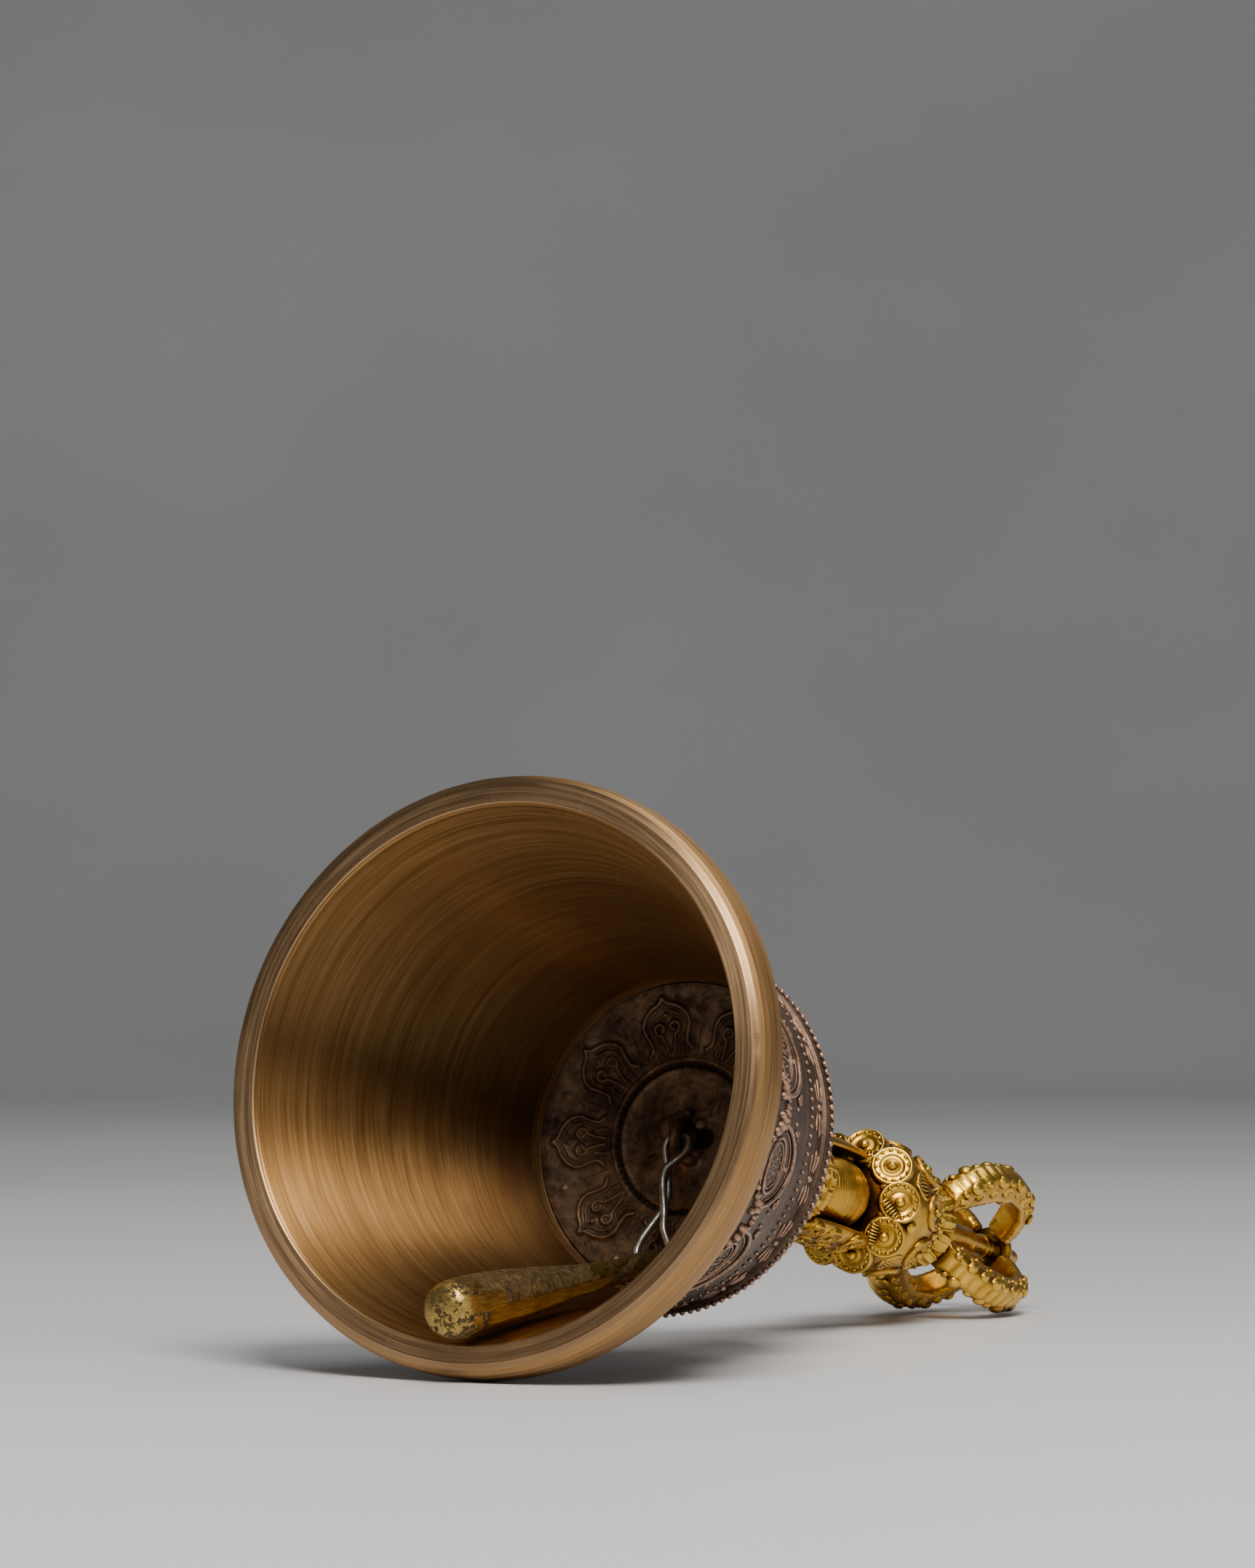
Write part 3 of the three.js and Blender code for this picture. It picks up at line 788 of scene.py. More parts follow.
def medallion(turn, seed):
    """A ringed flower with a horseshoe arch, curls and groups of knobs."""
    source = np.random.default_rng(seed)
    parts = []
    centre = 33.2

    def line(pairs, radius, height, loop=False, sides=7):
        parts.append(wall_tube(turn, centre, pairs, radius, height, loop, sides))

    def knob(*values):
        parts.append(wall_bead(turn, centre, *values))

    line(ellipse(4.5, 5.1, 0, 360, 56, True), 0.32, 0.14, True)
    line(ellipse(3.7, 4.3, 0, 360, 48, True), 0.2, 0.06, True, 6)
    for count, ring, size, shift in ((1, 0.0, 0.42, 0), (6, 1.25, 0.3, 0), (10, 2.5, 0.27, 0.5)):
        for k in range(count):
            a = 2 * math.pi * (k + shift) / count + source.uniform(-0.08, 0.08)
            knob(ring * math.sin(a), ring * 1.15 * math.cos(a), size * source.uniform(0.8, 1.1),
                 0.3, 1.5, 0.85, 4, 6)
    knob(0.0, 7.0, 0.52, 0.55)
    taper = 0.30 + 0.2 * np.sin(np.linspace(0, math.pi, 40)) ** 0.5
    line(ellipse(6.7, 10.4, -86, 86, 40), taper, 0.22)
    line(ellipse(5.8, 9.0, -74, 74, 34), 0.16, 0.05, False, 6)
    for side in (-1, 1):
        for u, v, curl, radius, height in ((6.9, 1.5, (200, 0.85, 1.0, 0.35, 14, 1), 0.4, 0.2),
                                           (5.6, 9.4, (150, 0.75, 0.95, 0.4, 12, -1), 0.34, 0.18)):
            line((spiral(0.0, 0.0, *curl) + (u, v)) * (side, 1), radius, height)
        for u, v, size in ((7.3, -0.9, 0.86), (6.1, -2.7, 0.98), (7.8, -3.1, 0.78), (5.1, -4.8, 0.82),
                           (8.6, 0.8, 0.66), (3.9, -6.3, 0.6), (8.3, 2.9, 0.42), (7.3, 8.7, 0.36)):
            knob(side * u, v, size * source.uniform(0.9, 1.08), size * 1.2)
    line(ellipse(5.6, 7.6, 128, 232, 24), 0.26, 0.08, False, 6)
    for u in (-2.4, 0.0, 2.4):
        knob(u, -8.9 + abs(u) * 0.25, 0.45, 0.5, 1.5)
    return parts


def ring_of_beads(count, station, radius, height, seed, sides=8):
    """A row of beads round the wall, a little uneven in size and spacing."""
    source = np.random.default_rng(seed)
    parts = []
    for k in range(count):
        size = radius * source.uniform(0.9, 1.06)
        point, normal = on_wall(2 * math.pi * (k + source.uniform(-0.06, 0.06)) / count,
                                station + source.uniform(-0.05, 0.05), height)
        parts.append(bead(point, normal, size, size * 1.05, None, 1.0, 6, sides))
    return parts


def vajra_band():
    """A row of small vajras: a knob between two groups of three strokes."""
    count, station = 16, 55.9
    parts = []
    source = np.random.default_rng(31)
    t = np.linspace(0, 1, 10)
    for k in range(count):
        turn = 2 * math.pi * (k + 0.32) / count
        parts.append(wall_bead(turn, station, 0.0, 0.0, 0.62, 0.62, 1.1, 1.0, 6, 10))
        for side in (-1, 1):
            for row in (-1, 0, 1):
                length, thick = (3.0, 0.28) if row else (3.7, 0.36)
                u = side * (0.95 + length * source.uniform(0.93, 1.05) * t)
                v = row * (0.95 + 0.75 * np.sin(t * math.pi * 0.6)) + source.uniform(-0.08, 0.08) + 0.25 * t
                width = thick * np.sqrt(np.clip(1 - (2 * t - 1) ** 4, 0.06, 1)) * (0.72 + 0.36 * t)
                stroke = np.stack([u, v], axis=1)
                parts.append(wall_tube(turn, station, stroke, width, 0.08, False, 8, 0.95, 0.9))
    return parts


def wall_ornament():
    medallions = [part for k in range(12) for part in medallion(math.radians(15 + 30 * k), 100 + k)]
    fine = ring_of_beads(128, 51.3, 0.38, 0.07, 21) + ring_of_beads(120, 15.8, 0.52, 0.07, 22)
    for name, parts in (("wall_medallions", medallions), ("fine_bead_rows", fine),
                        ("shoulder_beads", ring_of_beads(128, 59.5, 0.55, 0.16, 23, 10)),
                        ("vajra_band", vajra_band())):
        make(name, parts, wall_patina, "bell", flat_caps=False)


wall_ornament()


# ---------------------------------------------------------------- staple, wire and clapper

def staple_and_rod():
    """The bent eye, the peened lumps round it and the rod that runs on through the handle."""
    rod = np.vstack([[(0.4, 66.2)], tight([(2.2, 66.2), (2.2, 136.4), (0.4, 136.4)], 0.1)])
    parts = [grid_part(around(azimuths(32)[None, :], rod[:, :1], rod[:, 1:2]))]
    t = np.linspace(0, math.pi, 26)
    path = np.stack([0.12 * np.sin(t * 3.0), 2.1 * np.cos(t), STAPLE_AT + 0.9 - 2.72 * np.sin(t)], axis=1)
    path = np.vstack([[(0.1, 2.35, 67.4), (0.1, 2.25, 66.4)], path,
                      [(-0.1, -2.25, 66.4), (-0.1, -2.35, 67.4)]])
    source = np.random.default_rng(4)
    radius = 0.94 * (1 + source.uniform(-0.07, 0.07, len(path)))
    parts.append(tube(path, radius, 14, False, [1, 0, 0], 1.0, 0.3))
    for x, y, size in ((0.7, 3.0, 1.5), (-1.3, -3.5, 1.4), (1.8, 2.2, 1.1), (-2.3, -2.6, 1.0),
                       (-0.4, 4.0, 0.9)):
        parts.append(bead((x, y, 66.3), (0, 0, -1), size, size, [1, 0, 0], 1.15, 8, 14, 0.5))
    make("staple_and_rod", parts, ceiling_patina, "bell", HANDLE, ("handle_rod",), False)


staple_and_rod()


def hung(origin, angle):
    """The frame of a part that hangs from the origin toward the mouth and leans down by the angle."""
    along = (UPPER * -math.sin(angle) + AXIS * -math.cos(angle)).normalized()
    return placed(SIDE, along.cross(SIDE).normalized(), along, origin)


def smooth_through(points, steps):
    """A centripetal curve through the points, with each span cut into the given number of steps."""
    padded = np.vstack([2 * points[0] - points[1], points, 2 * points[-1] - points[-2]])

    def blend(a, b, start, end, at):
        return (end - at) / (end - start) * a + (at - start) / (end - start) * b

    path = []
    for i in range(len(points) - 1):
        p = padded[i:i + 4]
        gaps = np.maximum(np.sqrt(np.linalg.norm(np.diff(p, axis=0), axis=1)), 1e-4)
        t = np.concatenate([[0.0], np.cumsum(gaps)])
        for at in np.linspace(t[1], t[2], steps, endpoint=i == len(points) - 2):
            first, middle, last = (blend(p[k], p[k + 1], t[k], t[k + 1], at) for k in range(3))
            first, last = blend(first, middle, t[0], t[2], at), blend(middle, last, t[1], t[3], at)
            path.append(blend(first, last, t[1], t[2], at))
    return np.array(path)


def wire_link():
    """One length of wire bent into a link that crosses itself, with its ends inside the clapper's eye."""
    half, near, far = 3.2, 1.6, 22.5
    bend = far - 1.7
    path = smooth_through(np.array([
        (0.25, 0, far), (near, 0, far), (half, 0, bend), (3.0, 0.1, 18.6), (2.0, 0.5, 16.0), (0.7, 0.8, 13.0),
        (0.2, 0.8, 10.5), (0.6, 0.75, 8.2), (1.0, 0.6, 6.0), (1.75, 0.25, 3.8), (2.1, 0, 1.8), (near, 0, 0.3),
        (0.6, 0, 0.03), (-0.6, 0, 0.03), (-near, 0, 0.3), (-2.1, 0, 1.6), (-1.75, -0.3, 3.3),
        (-0.8, -0.95, 4.8), (0.3, -1.3, 6.2), (0.65, -1.1, 7.8), (0.4, -0.9, 9.6), (-0.2, -0.8, 11.8),
        (-0.7, -0.75, 14.0), (-1.1, -0.6, 16.6), (-2.3, -0.2, 19.0), (-half, 0, bend), (-near, 0, far),
        (-0.25, 0, far)]), 14)
    t = np.linspace(0, 1, len(path))
    away_from_ends = unit((path[:, 2] - 4) / 5) * unit((far - path[:, 2]) / 5)
    path[:, 1] += 0.12 * np.sin(t * 31) * away_from_ends
    radius = 0.69 * (1 + 0.03 * np.sin(t * 57))
    make("wire_link", [tube(path, radius, 16, False, None, 1.0, 0.5)], steel, "wire",
         hung(STAPLE, WIRE_ANGLE), replaces=("clapper_wire",))


wire_link()


def clapper_drop():
    """The hammered-looking cast drop: sandy skin with filed flats, and an eye through its thin end."""
    outline = catmull([(0.5, -2.8), (1.35, -2.6), (2.1, -1.4), (2.3, 0.0), (2.3, 3.0), (2.1, 12.0),
                       (2.6, 25.0), (3.7, 38.0), (4.35, 48.0), (4.68, 57.5), (4.62, 63.4), (4.15, 66.3),
                       (2.6, 67.8), (0.3, 68.2)], 170)
    phi = azimuths(96)[None, :]
    radius, station = outline[:, :1], outline[:, 1:2]
    wobble = 0.10 * lumps(phi, station, 0.12, 41) + 0.045 * lumps(phi * 3, station, 0.7, 42)
    r = radius + (wobble + 0.03 * lumps(phi * 9, station, 3.0, 43)) * unit(radius / 2.0)
    x, y = r * np.cos(phi), r * np.sin(phi)
    z = station + 0 * phi
    filed = np.zeros(x.shape)
    for turn, depth, start, stop in ((118, 0.88, 22, 64), (158, 0.90, 18, 63), (-168, 0.94, 52, 70),
                                     (20, 0.88, 30, 62), (-40, 0.93, 36, 60)):
        a = math.radians(turn)
        nx, ny = math.cos(a), math.sin(a)
        fade = unit((z - start) / 6) * unit((stop - z) / 3.5)
        limit = radius * (depth + (1.05 - depth) * (1 - fade)) + 0.03 * np.sin(z * 0.6 + phi * 2) * fade
        over = x * nx + y * ny - limit
        cut = np.maximum(over, 0)
        x, y = x - cut * nx * 0.97, y - cut * ny * 0.97
        filed = np.maximum(filed, unit(over / 0.14) * (fade > 0.05))
    stem = unit((27 - z) / 10) * unit(z / 5)
    facets = 0.12 * np.abs(np.sin(z * 0.9 + np.sin(phi * 2) * 1.4)) * stem
    shrink = 1 - facets / np.maximum(r, 0.5)
    x, y = x * shrink, y * shrink
    filed = np.maximum(filed, unit(stem * 1.8) * (np.sin(phi * 2 + z * 0.35) > -0.75) * 0.95)
    filed = np.maximum(filed, 0.62 * unit((z - 57) / 6))
    points = np.stack(np.broadcast_arrays(x, y, z), axis=-1)
    piece = make("clapper_casting", [grid_part(points, filed)], clapper_metal, "striker",
                 hung(EYE, CLAPPER_ANGLE), replaces=("clapper",), flat_caps=False)
    bore = make("clapper_eye_cutter", [bore_part()], clapper_metal, "striker", hung(EYE, CLAPPER_ANGLE))
    bpy.context.view_layer.update()
    modifier = piece.modifiers.new("eye", "BOOLEAN")
    modifier.operation = "DIFFERENCE"
    modifier.solver = "EXACT"
    modifier.object = bore
    drilled = bpy.data.meshes.new_from_object(piece.evaluated_get(bpy.context.evaluated_depsgraph_get()))
    piece.modifiers.clear()
    piece.data = drilled
    bpy.data.objects.remove(bore)


def bore_part():
    """A drilled hole with a small countersink at both ends, along the sideways direction."""
    profile = np.array([(-6.0, 3.4), (-2.25, 1.6), (-1.9, 1.32), (1.9, 1.32), (2.25, 1.6), (6.0, 3.4)])
    at, radius = profile[:, :1], profile[:, 1:2]
    angle = azimuths(28)[None, :]
    ring = np.broadcast_arrays(at, radius * np.cos(angle), radius * np.sin(angle))
    return grid_part(np.stack(ring, axis=-1))


clapper_drop()


# ---------------------------------------------------------------- handle castings

class Casting:
    """A turned casting with relief. The profile runs toward the tip."""

    def __init__(self, pairs, rows, cols):
        curve = catmull(pairs, 400)
        length = np.concatenate([[0], np.cumsum(np.linalg.norm(np.diff(curve, axis=0), axis=1))])
        even = np.linspace(0, length[-1], rows)
        self.profile = np.stack([np.interp(even, length, column) for column in curve.T], axis=1)
        self.normal = normals_2d(self.profile)
        self.cols = cols
        self.length = length[-1]

    def grids(self):
        phi = azimuths(self.cols)[None, :] + 0 * self.profile[:, :1]
        run = np.linspace(0, 1, len(self.profile))[:, None] + 0 * phi
        return phi, run, self.profile[:, :1] + 0 * phi

    def at(self, azimuth, run, height=0.0):
        keys = np.linspace(0, 1, len(self.profile))
        return on_profile(azimuth, run, keys, self.profile, self.normal, height)

    def part(self, height, bore=2.55):
        phi, run, _ = self.grids()
        height = height * unit(run * 14) * unit((1 - run) * 14)
        outside = around(phi, self.profile[:, :1] + self.normal[:, :1] * height,
                         self.profile[:, 1:2] + self.normal[:, 1:2] * height)
        first, last = self.profile[0, 1], self.profile[-1, 1]
        points = np.vstack([outside, [around(phi[0], bore, s) for s in (last, first)]])
        mask = np.vstack([unit(height / 0.6), np.zeros((2, self.cols))])
        return grid_part(points, mask, loop_rows=True)


def lotus(phi, run, radius, count, start, stop, rise, shift=0.0, point_first=False):
    """A row of overlapping petals with a raised rim and a centre rib."""
    v = unit((run - start) / (stop - start))
    if point_first:
        v = 1 - v
    pitch = 2 * math.pi / count
    local = (phi + shift * pitch + pitch / 2) % pitch - pitch / 2
    half = pitch / 2 * np.sqrt(np.clip(1 - v ** 3.2, 0.0, 1)) * 0.98
    t = np.abs(local) / np.maximum(half, 1e-4)
    inside = (t < 1) & (run > start) & (run < stop)
    dome_part = np.sqrt(unit(1 - t ** 2))
    rim = hump(t, 0.82, 0.12)
    rib = hump(local * radius, 0, 0.28) * (v < 0.8)
    edge = unit((1 - v) * 6) * unit(v * 8)
    return rise * (0.55 * dome_part + 0.45 * rim + 0.25 * rib) * inside * edge


def handle_piece(node, parts, look=gilt):
    make(node + "_casting", parts, look, "bell", HANDLE, (node,), False)


def simple_casting(node, pairs, rows, cols, seed, relief, extra=None, look=gilt):
    """A casting round the rod; relief gives its height and extra the separate parts on it."""
    shape = Casting(pairs, rows, cols)
    phi, run, radius = shape.grids()
    uneven = lumps(phi * 2, run * 6, 1.4, seed) + 0.6 * lumps(phi * 5, run * 14, 1.5, seed + 1)
    parts = [shape.part(relief(phi, run, radius) + 0.05 * uneven)]
    handle_piece(node, parts + (extra(shape) if extra else []), look)


def bead_row(count, size, height, seed):
    """A builder for a ring of beads round the middle of a casting."""
    def build(shape):
        source = np.random.default_rng(seed)
        out = []
        for k in range(count):
            point, normal = shape.at(2 * math.pi * (k + source.uniform(-0.04, 0.04)) / count, 0.5, height)
            out.append(bead(point, normal, size * source.uniform(0.92, 1.05), rings=7, sides=12))
        return out
    return build


def rings(run, width, *places):
    """Turned rings at the given places along the run."""
    return sum(hump(run, at, width) for at in places)


def base_relief(phi, run, radius):
    return (lotus(phi, run, radius, 16, 0.05, 0.62, 0.7, 0.0, True)
            + lotus(phi, run, radius, 16, 0.55, 0.97, 0.6, 0.5))


def spool_relief(phi, run, radius):
    swirl = np.cos(phi * 8 + np.sin(run * 9) * 1.6)
    return (0.28 * np.clip(swirl, -0.3, 1) * hump(run, 0.5, 0.2)
            + 0.4 * rings(run, 0.018, 0.14, 0.22, 0.78, 0.86)
            + lotus(phi, run, radius, 12, 0.24, 0.42, 0.4)
            + lotus(phi, run, radius, 12, 0.58, 0.76, 0.4, 0.5, True))


def collar_relief(phi, run, radius):
    return lotus(phi, run, radius, 12, 0.08, 0.8, 0.6) + 0.3 * rings(run, 0.05, 0.9)


def bulb_relief(phi, run, radius):
    return 0.09 * rings(run, 0.012, *np.linspace(0.1, 0.42, 9), *np.linspace(0.62, 0.92, 8))


def hub_relief(phi, run, radius):
    return 0.25 * np.abs(np.cos(phi * 4 + 0.5)) * np.sin(run * math.pi) + 0.3 * rings(run, 0.03, 0.95)


simple_casting("base_lotus", [(11.3, 71.35), (13.2, 73.4), (12.3, 76.2), (8.6, 79.9)],
               64, 384, 61, base_relief)
simple_casting("base_bead_ring", [(7.9, 80.35), (8.7, 81.1), (8.9, 81.8), (8.7, 82.5), (7.9, 83.25)],
               20, 208, 63, lambda phi, run, radius: 0.15 * np.cos(phi * 26) * np.sin(run * math.pi),
               bead_row(26, 1.05, -0.15, 5))
simple_casting("handle_spool", [(7.0, 83.65), (7.9, 86.7), (10.2, 91.5), (7.9, 96.1), (7.0, 98.95)],
               110, 300, 65, spool_relief)
simple_casting("neck_ring", [(7.2, 99.35), (8.4, 100.6), (8.8, 102.2), (8.4, 103.7), (7.2, 104.95)],
               48, 256, 67, lambda phi, run, radius: 0.3 * rings(run, 0.05, 0.16, 0.84),
               bead_row(22, 1.1, -0.35, 8))
simple_casting("lower_collar", [(7.2, 105.35), (7.7, 107.4), (6.6, 109.6), (4.9, 111.95)], 60, 300, 69,
               collar_relief)
simple_casting("smooth_bulb", [(4.3, 112.35), (5.5, 114.6), (6.2, 117.6), (6.3, 120.6), (6.0, 124.2),
                               (5.1, 127.0), (4.0, 128.95)], 180, 128, 71, bulb_relief, None, gilt_turned)


def disc_rosette(point, normal, size, rise, seed, comb=False, count=12):
    """A round medallion with rings, a centre bead and small beads or a comb of ribs."""
    source = np.random.default_rng(seed)
    normal = normalised(normal)
    first = normalised(np.cross(normal, [0.2, 0.3, 0.93]))
    second = np.cross(normal, first)

    def place(u, v, w):
        return point + u * first + v * second + w * normal

    parts = []
    radial = np.array([0.02, 0.2, 0.42, 0.5, 0.6, 0.7, 0.82, 0.9, 0.97, 1.03, 1.05]) * size
    lift = np.array([0.62, 0.52, 0.30, 0.22, 0.45, 0.50, 0.34, 0.62, 0.58, 0.2, -0.9]) * rise
    sides = 36
    grid = np.array([[place(r * math.cos(a), r * math.sin(a), h) for a in azimuths(sides)]
                     for r, h in zip(radial, lift)])
    parts.append(grid_part(grid, np.repeat(unit(lift / rise)[:, None], sides, axis=1)))
    parts.append(bead(place(0, 0, 0.45 * rise), normal, size * 0.27, rise * 0.75, first, 1.0, 7, 12))
    if comb:
        for k in range(7):
            u = (k - 3) * size * 0.15
            path = [place(u, size * 0.32, 0.5 * rise), place(u * 1.06, size * 0.6, 0.6 * rise),
                    place(u * 1.1, size * 0.85, 0.45 * rise)]
            parts.append(tube(path, size * 0.06, 6, False, normal))
    for k in range(count):
        a = 2 * math.pi * k / count
        parts.append(bead(place(size * 0.78 * math.cos(a), size * 0.78 * math.sin(a), 0.42 * rise), normal,
                          size * 0.10 * source.uniform(0.85, 1.1), rise * 0.3, first, 1.2, 4, 7))
    return parts


def fan_leaf(shape, azimuth, run):
    """A small leaf whose ribs spread toward the tip."""
    parts = []
    radius = np.interp(run, np.linspace(0, 1, len(shape.profile)), shape.profile[:, 0])
    _, normal = shape.at(azimuth, run)
    taper = np.array([0.6, 0.9, 1.0, 1.0, 0.95, 0.8, 0.5])
    for rib in range(-3, 4):
        spread = rib / 3
        path = []
        for u in np.linspace(0, 1, len(taper)):
            side = spread * 2.3 * math.sin(u * math.pi * 0.72)
            step = run + (u - 0.45) * 4.4 * (1 - 0.22 * abs(spread)) / shape.length
            path.append(shape.at(azimuth + side / radius, step, 0.12)[0])
        parts.append(tube(path, (0.42 if abs(rib) == 3 else 0.27) * taper, 7, False, normal))
    return parts


def hub_ornament(shape):
    """Two rows of medallions, with leaves and beads between them."""
    parts = []

    def knob(azimuth, run, *values):
        parts.append(bead(*shape.at(azimuth, run), *values))

    for k in range(9):
        a = math.radians(-2 + 40 * k)
        b = a + math.radians(20)
        _, slope = shape.at(a, 0.14)
        point, normal = shape.at(a, 0.19, 0.1)
        parts += disc_rosette(point, normal + slope, 3.65, 1.25, 200 + k, comb=k % 2 == 0)
        parts += disc_rosette(*shape.at(a, 0.62), 3.2, 1.1, 220 + k, comb=k % 2 == 1)
        knob(a, 0.90, 0.9, 0.7)
        knob(b, 0.10, 0.95, 0.9, None, 1.2, 7, 12)
        if k % 3 == 2:
            knob(b, 0.33, 1.3, 1.1, None, 1.1, 8, 14)
        else:
            parts += fan_leaf(shape, b, 0.42)
        knob(b, 0.74, 1.25 if k % 2 else 1.0, 0.9, None, 1.2, 7, 12)
    return parts


simple_casting("medallion_hub", [(4.6, 129.35), (8.2, 129.6), (10.2, 131.4), (11.1, 135.0), (11.2, 140.0),
                                 (9.8, 146.2), (7.3, 150.45)], 70, 256, 73, hub_relief, hub_ornament)
simple_casting("hub_bead_ring", [(6.9, 150.85), (7.6, 151.5), (7.7, 152.0), (7.6, 152.5), (6.9, 153.15)],
               16, 160, 75, lambda phi, run, radius: 0 * phi, bead_row(24, 0.85, -0.25, 9))
simple_casting("petal_cup", [(6.1, 153.55), (7.0, 154.9), (7.9, 156.6), (7.8, 157.45)], 56, 256, 77,
               lambda phi, run, radius: lotus(phi, run, radius, 12, 0.02, 0.95, 0.8))


# The two straps beside the bulb

def strap_casting(node, centre_turn, outer, width, seed, bumps):
    """A curved band from the collar to the hub, with medallions on its outside."""
    start, end, count = 107.4, 128.95, 56
    curve = 0.038
    t = np.linspace(0, 1, count)
    station = start + (end - start) * t
    bow = np.sin(t * math.pi)
    out, inn = outer - 0.5 + 0.5 * bow, 7.05 + 0.3 * bow
    half = (width / 2 * (0.86 + 0.14 * bow))[:, None]
    angle = azimuths(40)[None, :]
    across = rounded(np.cos(angle), 0.45) * half
    upward = rounded(np.sin(angle), 0.45)
    top = unit(upward)
    relief = 0.16 * np.abs(np.sin(t * math.pi * 7))[:, None] * top
    relief = relief + 0.22 * hump(np.abs(across), half * 0.75, 0.35) * top
    deep = ((out + inn) / 2)[:, None] + upward * ((out - inn) / 2)[:, None] - curve * across ** 2 + relief
    c, s = math.cos(centre_turn), math.sin(centre_turn)
    points = np.stack([across * s - deep * c, deep * s + across * c, station[:, None] + 0 * across], axis=-1)
    parts = [grid_part(points, unit(relief * 3))]
    normal, side = np.array([-c, s, 0.0]), np.array([s, c, 0.0])
    for at, offset, size in bumps:
        i = int(at * (count - 1))
        point = normal * (out[i] - curve * offset ** 2 - 0.1) + side * offset + (0, 0, station[i])
        tilt = normal + side * offset * 0.09 + (0, 0, (at - 0.5) * 0.5)
        parts += disc_rosette(point, tilt, size, 0.75, seed + int(at * 10))
    handle_piece(node, parts)


strap_casting("upper_strap", math.radians(90), 8.8, 8.4, 300,
              [(0.2, 0.0, 1.5), (0.5, 0.0, 1.7), (0.8, 0.0, 1.5)])
strap_casting("lower_strap", math.radians(-90), 9.6, 11.6, 320,
              [(0.10, -4.2, 1.6), (0.10, 4.2, 1.6), (0.24, 0.0, 1.9), (0.36, -4.0, 2.3), (0.36, 4.0, 2.3),
               (0.56, 0.0, 2.2), (0.74, -4.2, 2.5), (0.74, 4.2, 2.5), (0.90, 0.0, 1.9)])


# The half vajra

def prong_rows(count):
    """Outer and inner edge of a prong, station by station, as (radius, station) pairs."""
    return (catmull([(8.7, 157.9), (12.7, 160.3), (15.4, 164.6), (16.4, 170.0), (16.1, 176.2), (14.0, 182.6),
                     (10.8, 186.8), (7.0, 188.8), (3.7, 189.3)], count),
            catmull([(4.1, 157.9), (6.4, 162.8), (8.6, 167.2), (10.6, 171.6), (11.3, 176.0), (10.5, 180.6),
                     (8.5, 183.6), (6.2, 185.1), (3.7, 186.0)], count))


def prong_casting(node, turn, seed):
    """A curved prong of rounded square section, ribbed across its back and set with beads along its sides."""
    count, sides, fill = 150, 56, 0.93
    outer, inner = prong_rows(count)
    middle, span = (outer + inner) / 2, outer - inner
    depth = np.linalg.norm(span, axis=1)
    outward = span / depth[:, None]
    t = np.linspace(0, 1, count)[:, None]
    angle = azimuths(sides)[None, :]
    deep, wide = rounded(np.cos(angle), 0.5), rounded(np.sin(angle), 0.5)
    half_width = 2.75 * (0.95 + 0.05 * np.sin(t * math.pi)) * (1 - 0.10 * unit(t - 0.9) * 10)
    half_depth = depth[:, None] / 2 * fill
    flank = unit(np.abs(wide) * 1.4 - 0.4)
    inward = unit(-deep)
    strokes = np.abs(np.sin((t * 17 + 0.10 * np.cos(wide * 3)) * math.pi)) ** 0.7
    border = hump(deep, 0.30, 0.12) + 0.7 * hump(deep, -0.55, 0.16)
    relief = (0.20 * border + 0.10 * np.abs(np.sin(t * math.pi * 21)) * (deep < 0.2)) * flank
    relief_out = 0.40 * strokes * unit(deep) ** 2 * np.exp(-(wide / 0.72) ** 4)
    scallop = 0.34 * np.abs(np.sin((t - 0.04) * math.pi * 7)) * inward ** 2 * flank
    spike = 0.9 * hump(t, 0.42, 0.028) * inward ** 3
    across = wide * (half_width + relief - 0.1)
    along = deep * (half_depth + relief_out + scallop) - spike
    r = middle[:, :1] + outward[:, :1] * along
    z = middle[:, 1:2] + outward[:, 1:2] * along
    ct, st = math.cos(turn), math.sin(turn)
    mask = unit((relief + relief_out) * 2.2 + spike)
    parts = [grid_part(np.stack([across * st - r * ct, r * st + across * ct, z], axis=-1), mask)]
    source = np.random.default_rng(seed)
    rows = np.hstack([middle, outward, depth[:, None]])

    def place(at, deep_at, wide_at):
        mr, mz, nr, nz, d = (np.interp(at * (count - 1), np.arange(count), row) for row in rows.T)
        rr, zz = mr + nr * deep_at * d / 2 * fill, mz + nz * deep_at * d / 2 * fill
        return (np.array([wide_at * st - rr * ct, rr * st + wide_at * ct, zz]),
                np.array([-nr * ct, nr * st, nz]))

    side_normal = np.array([st, ct, 0.0])
    for k in range(10):
        at = 0.06 + 0.70 * k / 9
        for sign in (-1, 1):
            size = (1.3 if k % 2 else 0.95) * source.uniform(0.85, 1.1)
            point, normal = place(at + source.uniform(-0.012, 0.012), 0.78, sign * 2.1)
            parts.append(bead(point, normal + side_normal * sign * 0.7, size, size * 0.62, None, 1.15, 7, 14))
            parts.append(bead(*place(at + 0.035, 0.88, sign * 1.0), size * 0.5, size * 0.45, None, 1.2, 5, 9))
    for k in range(7):
        at = 0.08 + 0.58 * k / 6
        for sign in (-1, 1):
            size = (1.45 if k % 2 else 1.1) * source.uniform(0.9, 1.1)
            point, _ = place(at, 0.12 + source.uniform(-0.12, 0.12), sign * 2.5)
            parts.append(bead(point, side_normal * sign, size, 0.6, None, 1.25, 6, 14))
            parts.append(bead(point, side_normal * sign, size * 0.4, 0.95, None, 1.0, 5, 9))
    handle_piece(node, parts)


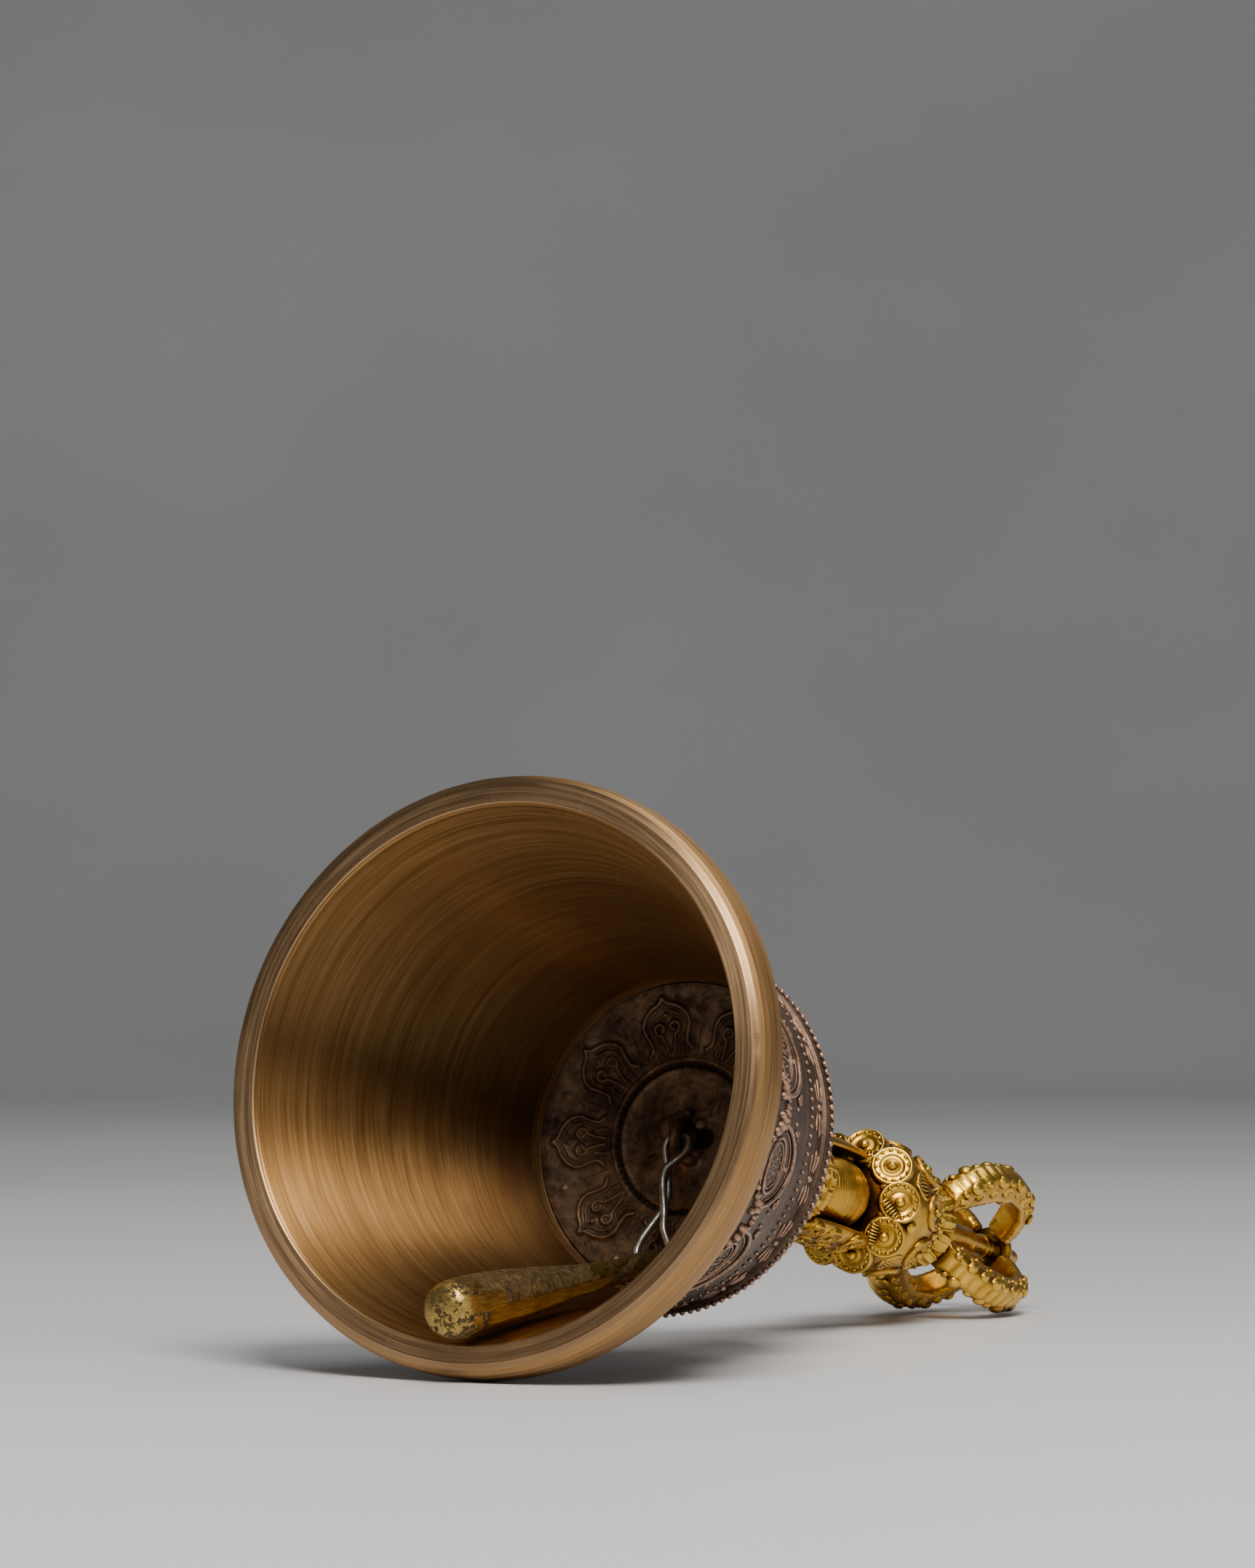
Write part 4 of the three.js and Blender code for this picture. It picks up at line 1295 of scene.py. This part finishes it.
PRONGS = ("prong_upper_left", "prong_lower_left", "prong_lower_right", "prong_upper_right")
for number, node in enumerate(PRONGS):
    low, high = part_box(node)
    offset = HANDLE.inverted() @ ((Vector(low) + Vector(high)) / 2)
    quarter = round((math.degrees(math.atan2(offset.y, -offset.x)) - 45) / 90)
    prong_casting(node, math.radians(quarter * 90 + 45), 400 + number)

core = Casting([(2.7, 157.85), (2.3, 161.5), (2.1, 165.0), (2.6, 171.0), (2.7, 173.6), (2.6, 176.2),
                (2.1, 182.5), (2.5, 189.5)], 110, 72)
phi, run, radius = core.grids()
core_height = (0.3 * rings(run, 0.012, 0.10, 0.15, 0.36, 0.64, 0.85, 0.90)
               + 0.12 * np.cos(phi * 4) * rings(run, 0.08, 0.5))
handle_piece("central_prong", [core.part(core_height, 0.4)])

cap = Casting([(4.4, 189.95), (3.9, 191.0), (2.2, 193.4), (1.75, 196.5), (1.6, 199.2), (0.9, 200.5),
               (0.5, 200.75)], 60, 96)
phi, run, radius = cap.grids()
cap_height = 0.2 * np.abs(np.cos(phi * 2)) * rings(run, 0.1, 0.16) + 0.12 * rings(run, 0.03, 0.45)
handle_piece("tip_cap", [cap.part(cap_height, 0.4)])


# ---------------------------------------------------------------- floor, light and camera

def floor_material():
    m = Material("pale_floor")
    coords = m.node("TexCoord").outputs["Object"]
    fine = m.noise(700.0, 4.0, 0.6, 0.0, coords)
    color = m.ramp(m.noise(2.5, 3.0, 0.5, 0.0, coords), (0.3, (0.60, 0.60, 0.61)), (0.7, (0.68, 0.68, 0.685)))
    return m.finish(color, None, m.span(fine, 0.3, 0.7, 0.40, 0.52), [(fine, 0.00004, 0.2)])


def floor_sheet():
    """A pale sheet that curves up far behind the bell."""
    reach, curve, half_width, top = 1.6, 0.9, 3.5, 3.2
    bend = [(reach * u, 0.0) for u in np.linspace(-1, 1, 12)]
    bend += [(reach + curve * math.sin(a), curve - curve * math.cos(a))
             for a in np.linspace(0, 1, 24)[1:] * math.pi / 2]
    bend.append((reach + curve, top))
    forward = Vector((0.883, 0.469, 0)).normalized()
    across = Vector((forward.y, -forward.x, 0))
    points = [forward * run + across * edge + Vector((0, 0, rise))
              for run, rise in bend for edge in (-half_width, half_width)]
    faces = [(i, i + 1, i + 3, i + 2) for i in range(0, len(points) - 2, 2)]
    mesh = bpy.data.meshes.new("floor_sheet")
    mesh.from_pydata(points, [], faces)
    mesh.polygons.foreach_set("use_smooth", [True] * len(faces))
    sheet = bpy.data.objects.new("floor_sheet", mesh)
    bpy.context.scene.collection.objects.link(sheet)
    sheet.data.materials.append(floor_material())
    return sheet


floor = floor_sheet()
floor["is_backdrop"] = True


def area_light(name, position, target, size, power, color):
    light = bpy.data.lights.new(name, "AREA")
    light.energy = power
    light.color = color
    light.shape = "RECTANGLE"
    light.size = light.size_y = size
    lamp = bpy.data.objects.new(name, light)
    bpy.context.scene.collection.objects.link(lamp)
    lamp.location = position
    lamp.rotation_euler = (Vector(target) - Vector(position)).to_track_quat("-Z", "Y").to_euler()


area_light("key_soft_box", (-0.66, -0.44, 0.88), (-0.04, 0, 0.045), 0.45, 18, (1.0, 0.965, 0.92))
area_light("top_soft_box", (0.25, -0.15, 1.2), (0, 0, 0.03), 0.9, 6, (1.0, 0.98, 0.96))
area_light("side_fill", (-0.3, -1.3, 0.5), (0.02, 0, 0.04), 0.7, 2, (1.0, 0.97, 0.94))

world = bpy.data.worlds.new("studio")
world.use_nodes = True
background = world.node_tree.nodes["Background"]
background.inputs["Color"].default_value = (0.5, 0.51, 0.53, 1)
background.inputs["Strength"].default_value = 0.22
bpy.context.scene.world = world

# The focal length is 7500 when the picture is 1725 wide.
FOCAL, WIDTH, SENSOR = 7500, 1725, 36.0
lens = bpy.data.cameras.new("camera")
lens.sensor_width = SENSOR
lens.sensor_fit = "HORIZONTAL"
lens.lens = FOCAL / WIDTH * SENSOR
lens.clip_start = 0.01
lens.clip_end = 20
camera = bpy.data.objects.new("camera", lens)
bpy.context.scene.collection.objects.link(camera)
right = Vector((0.469895, -0.882722, 0.0)).normalized()
forward = Vector((0.882283, 0.469662, 0.03154)).normalized()
above = right.cross(forward).normalized()
camera.matrix_world = placed(right, above, -forward, Vector((-0.820335, -0.412365, 0.064856)))
bpy.context.scene.camera = camera

bpy.context.view_layer.update()
low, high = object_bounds()
import json
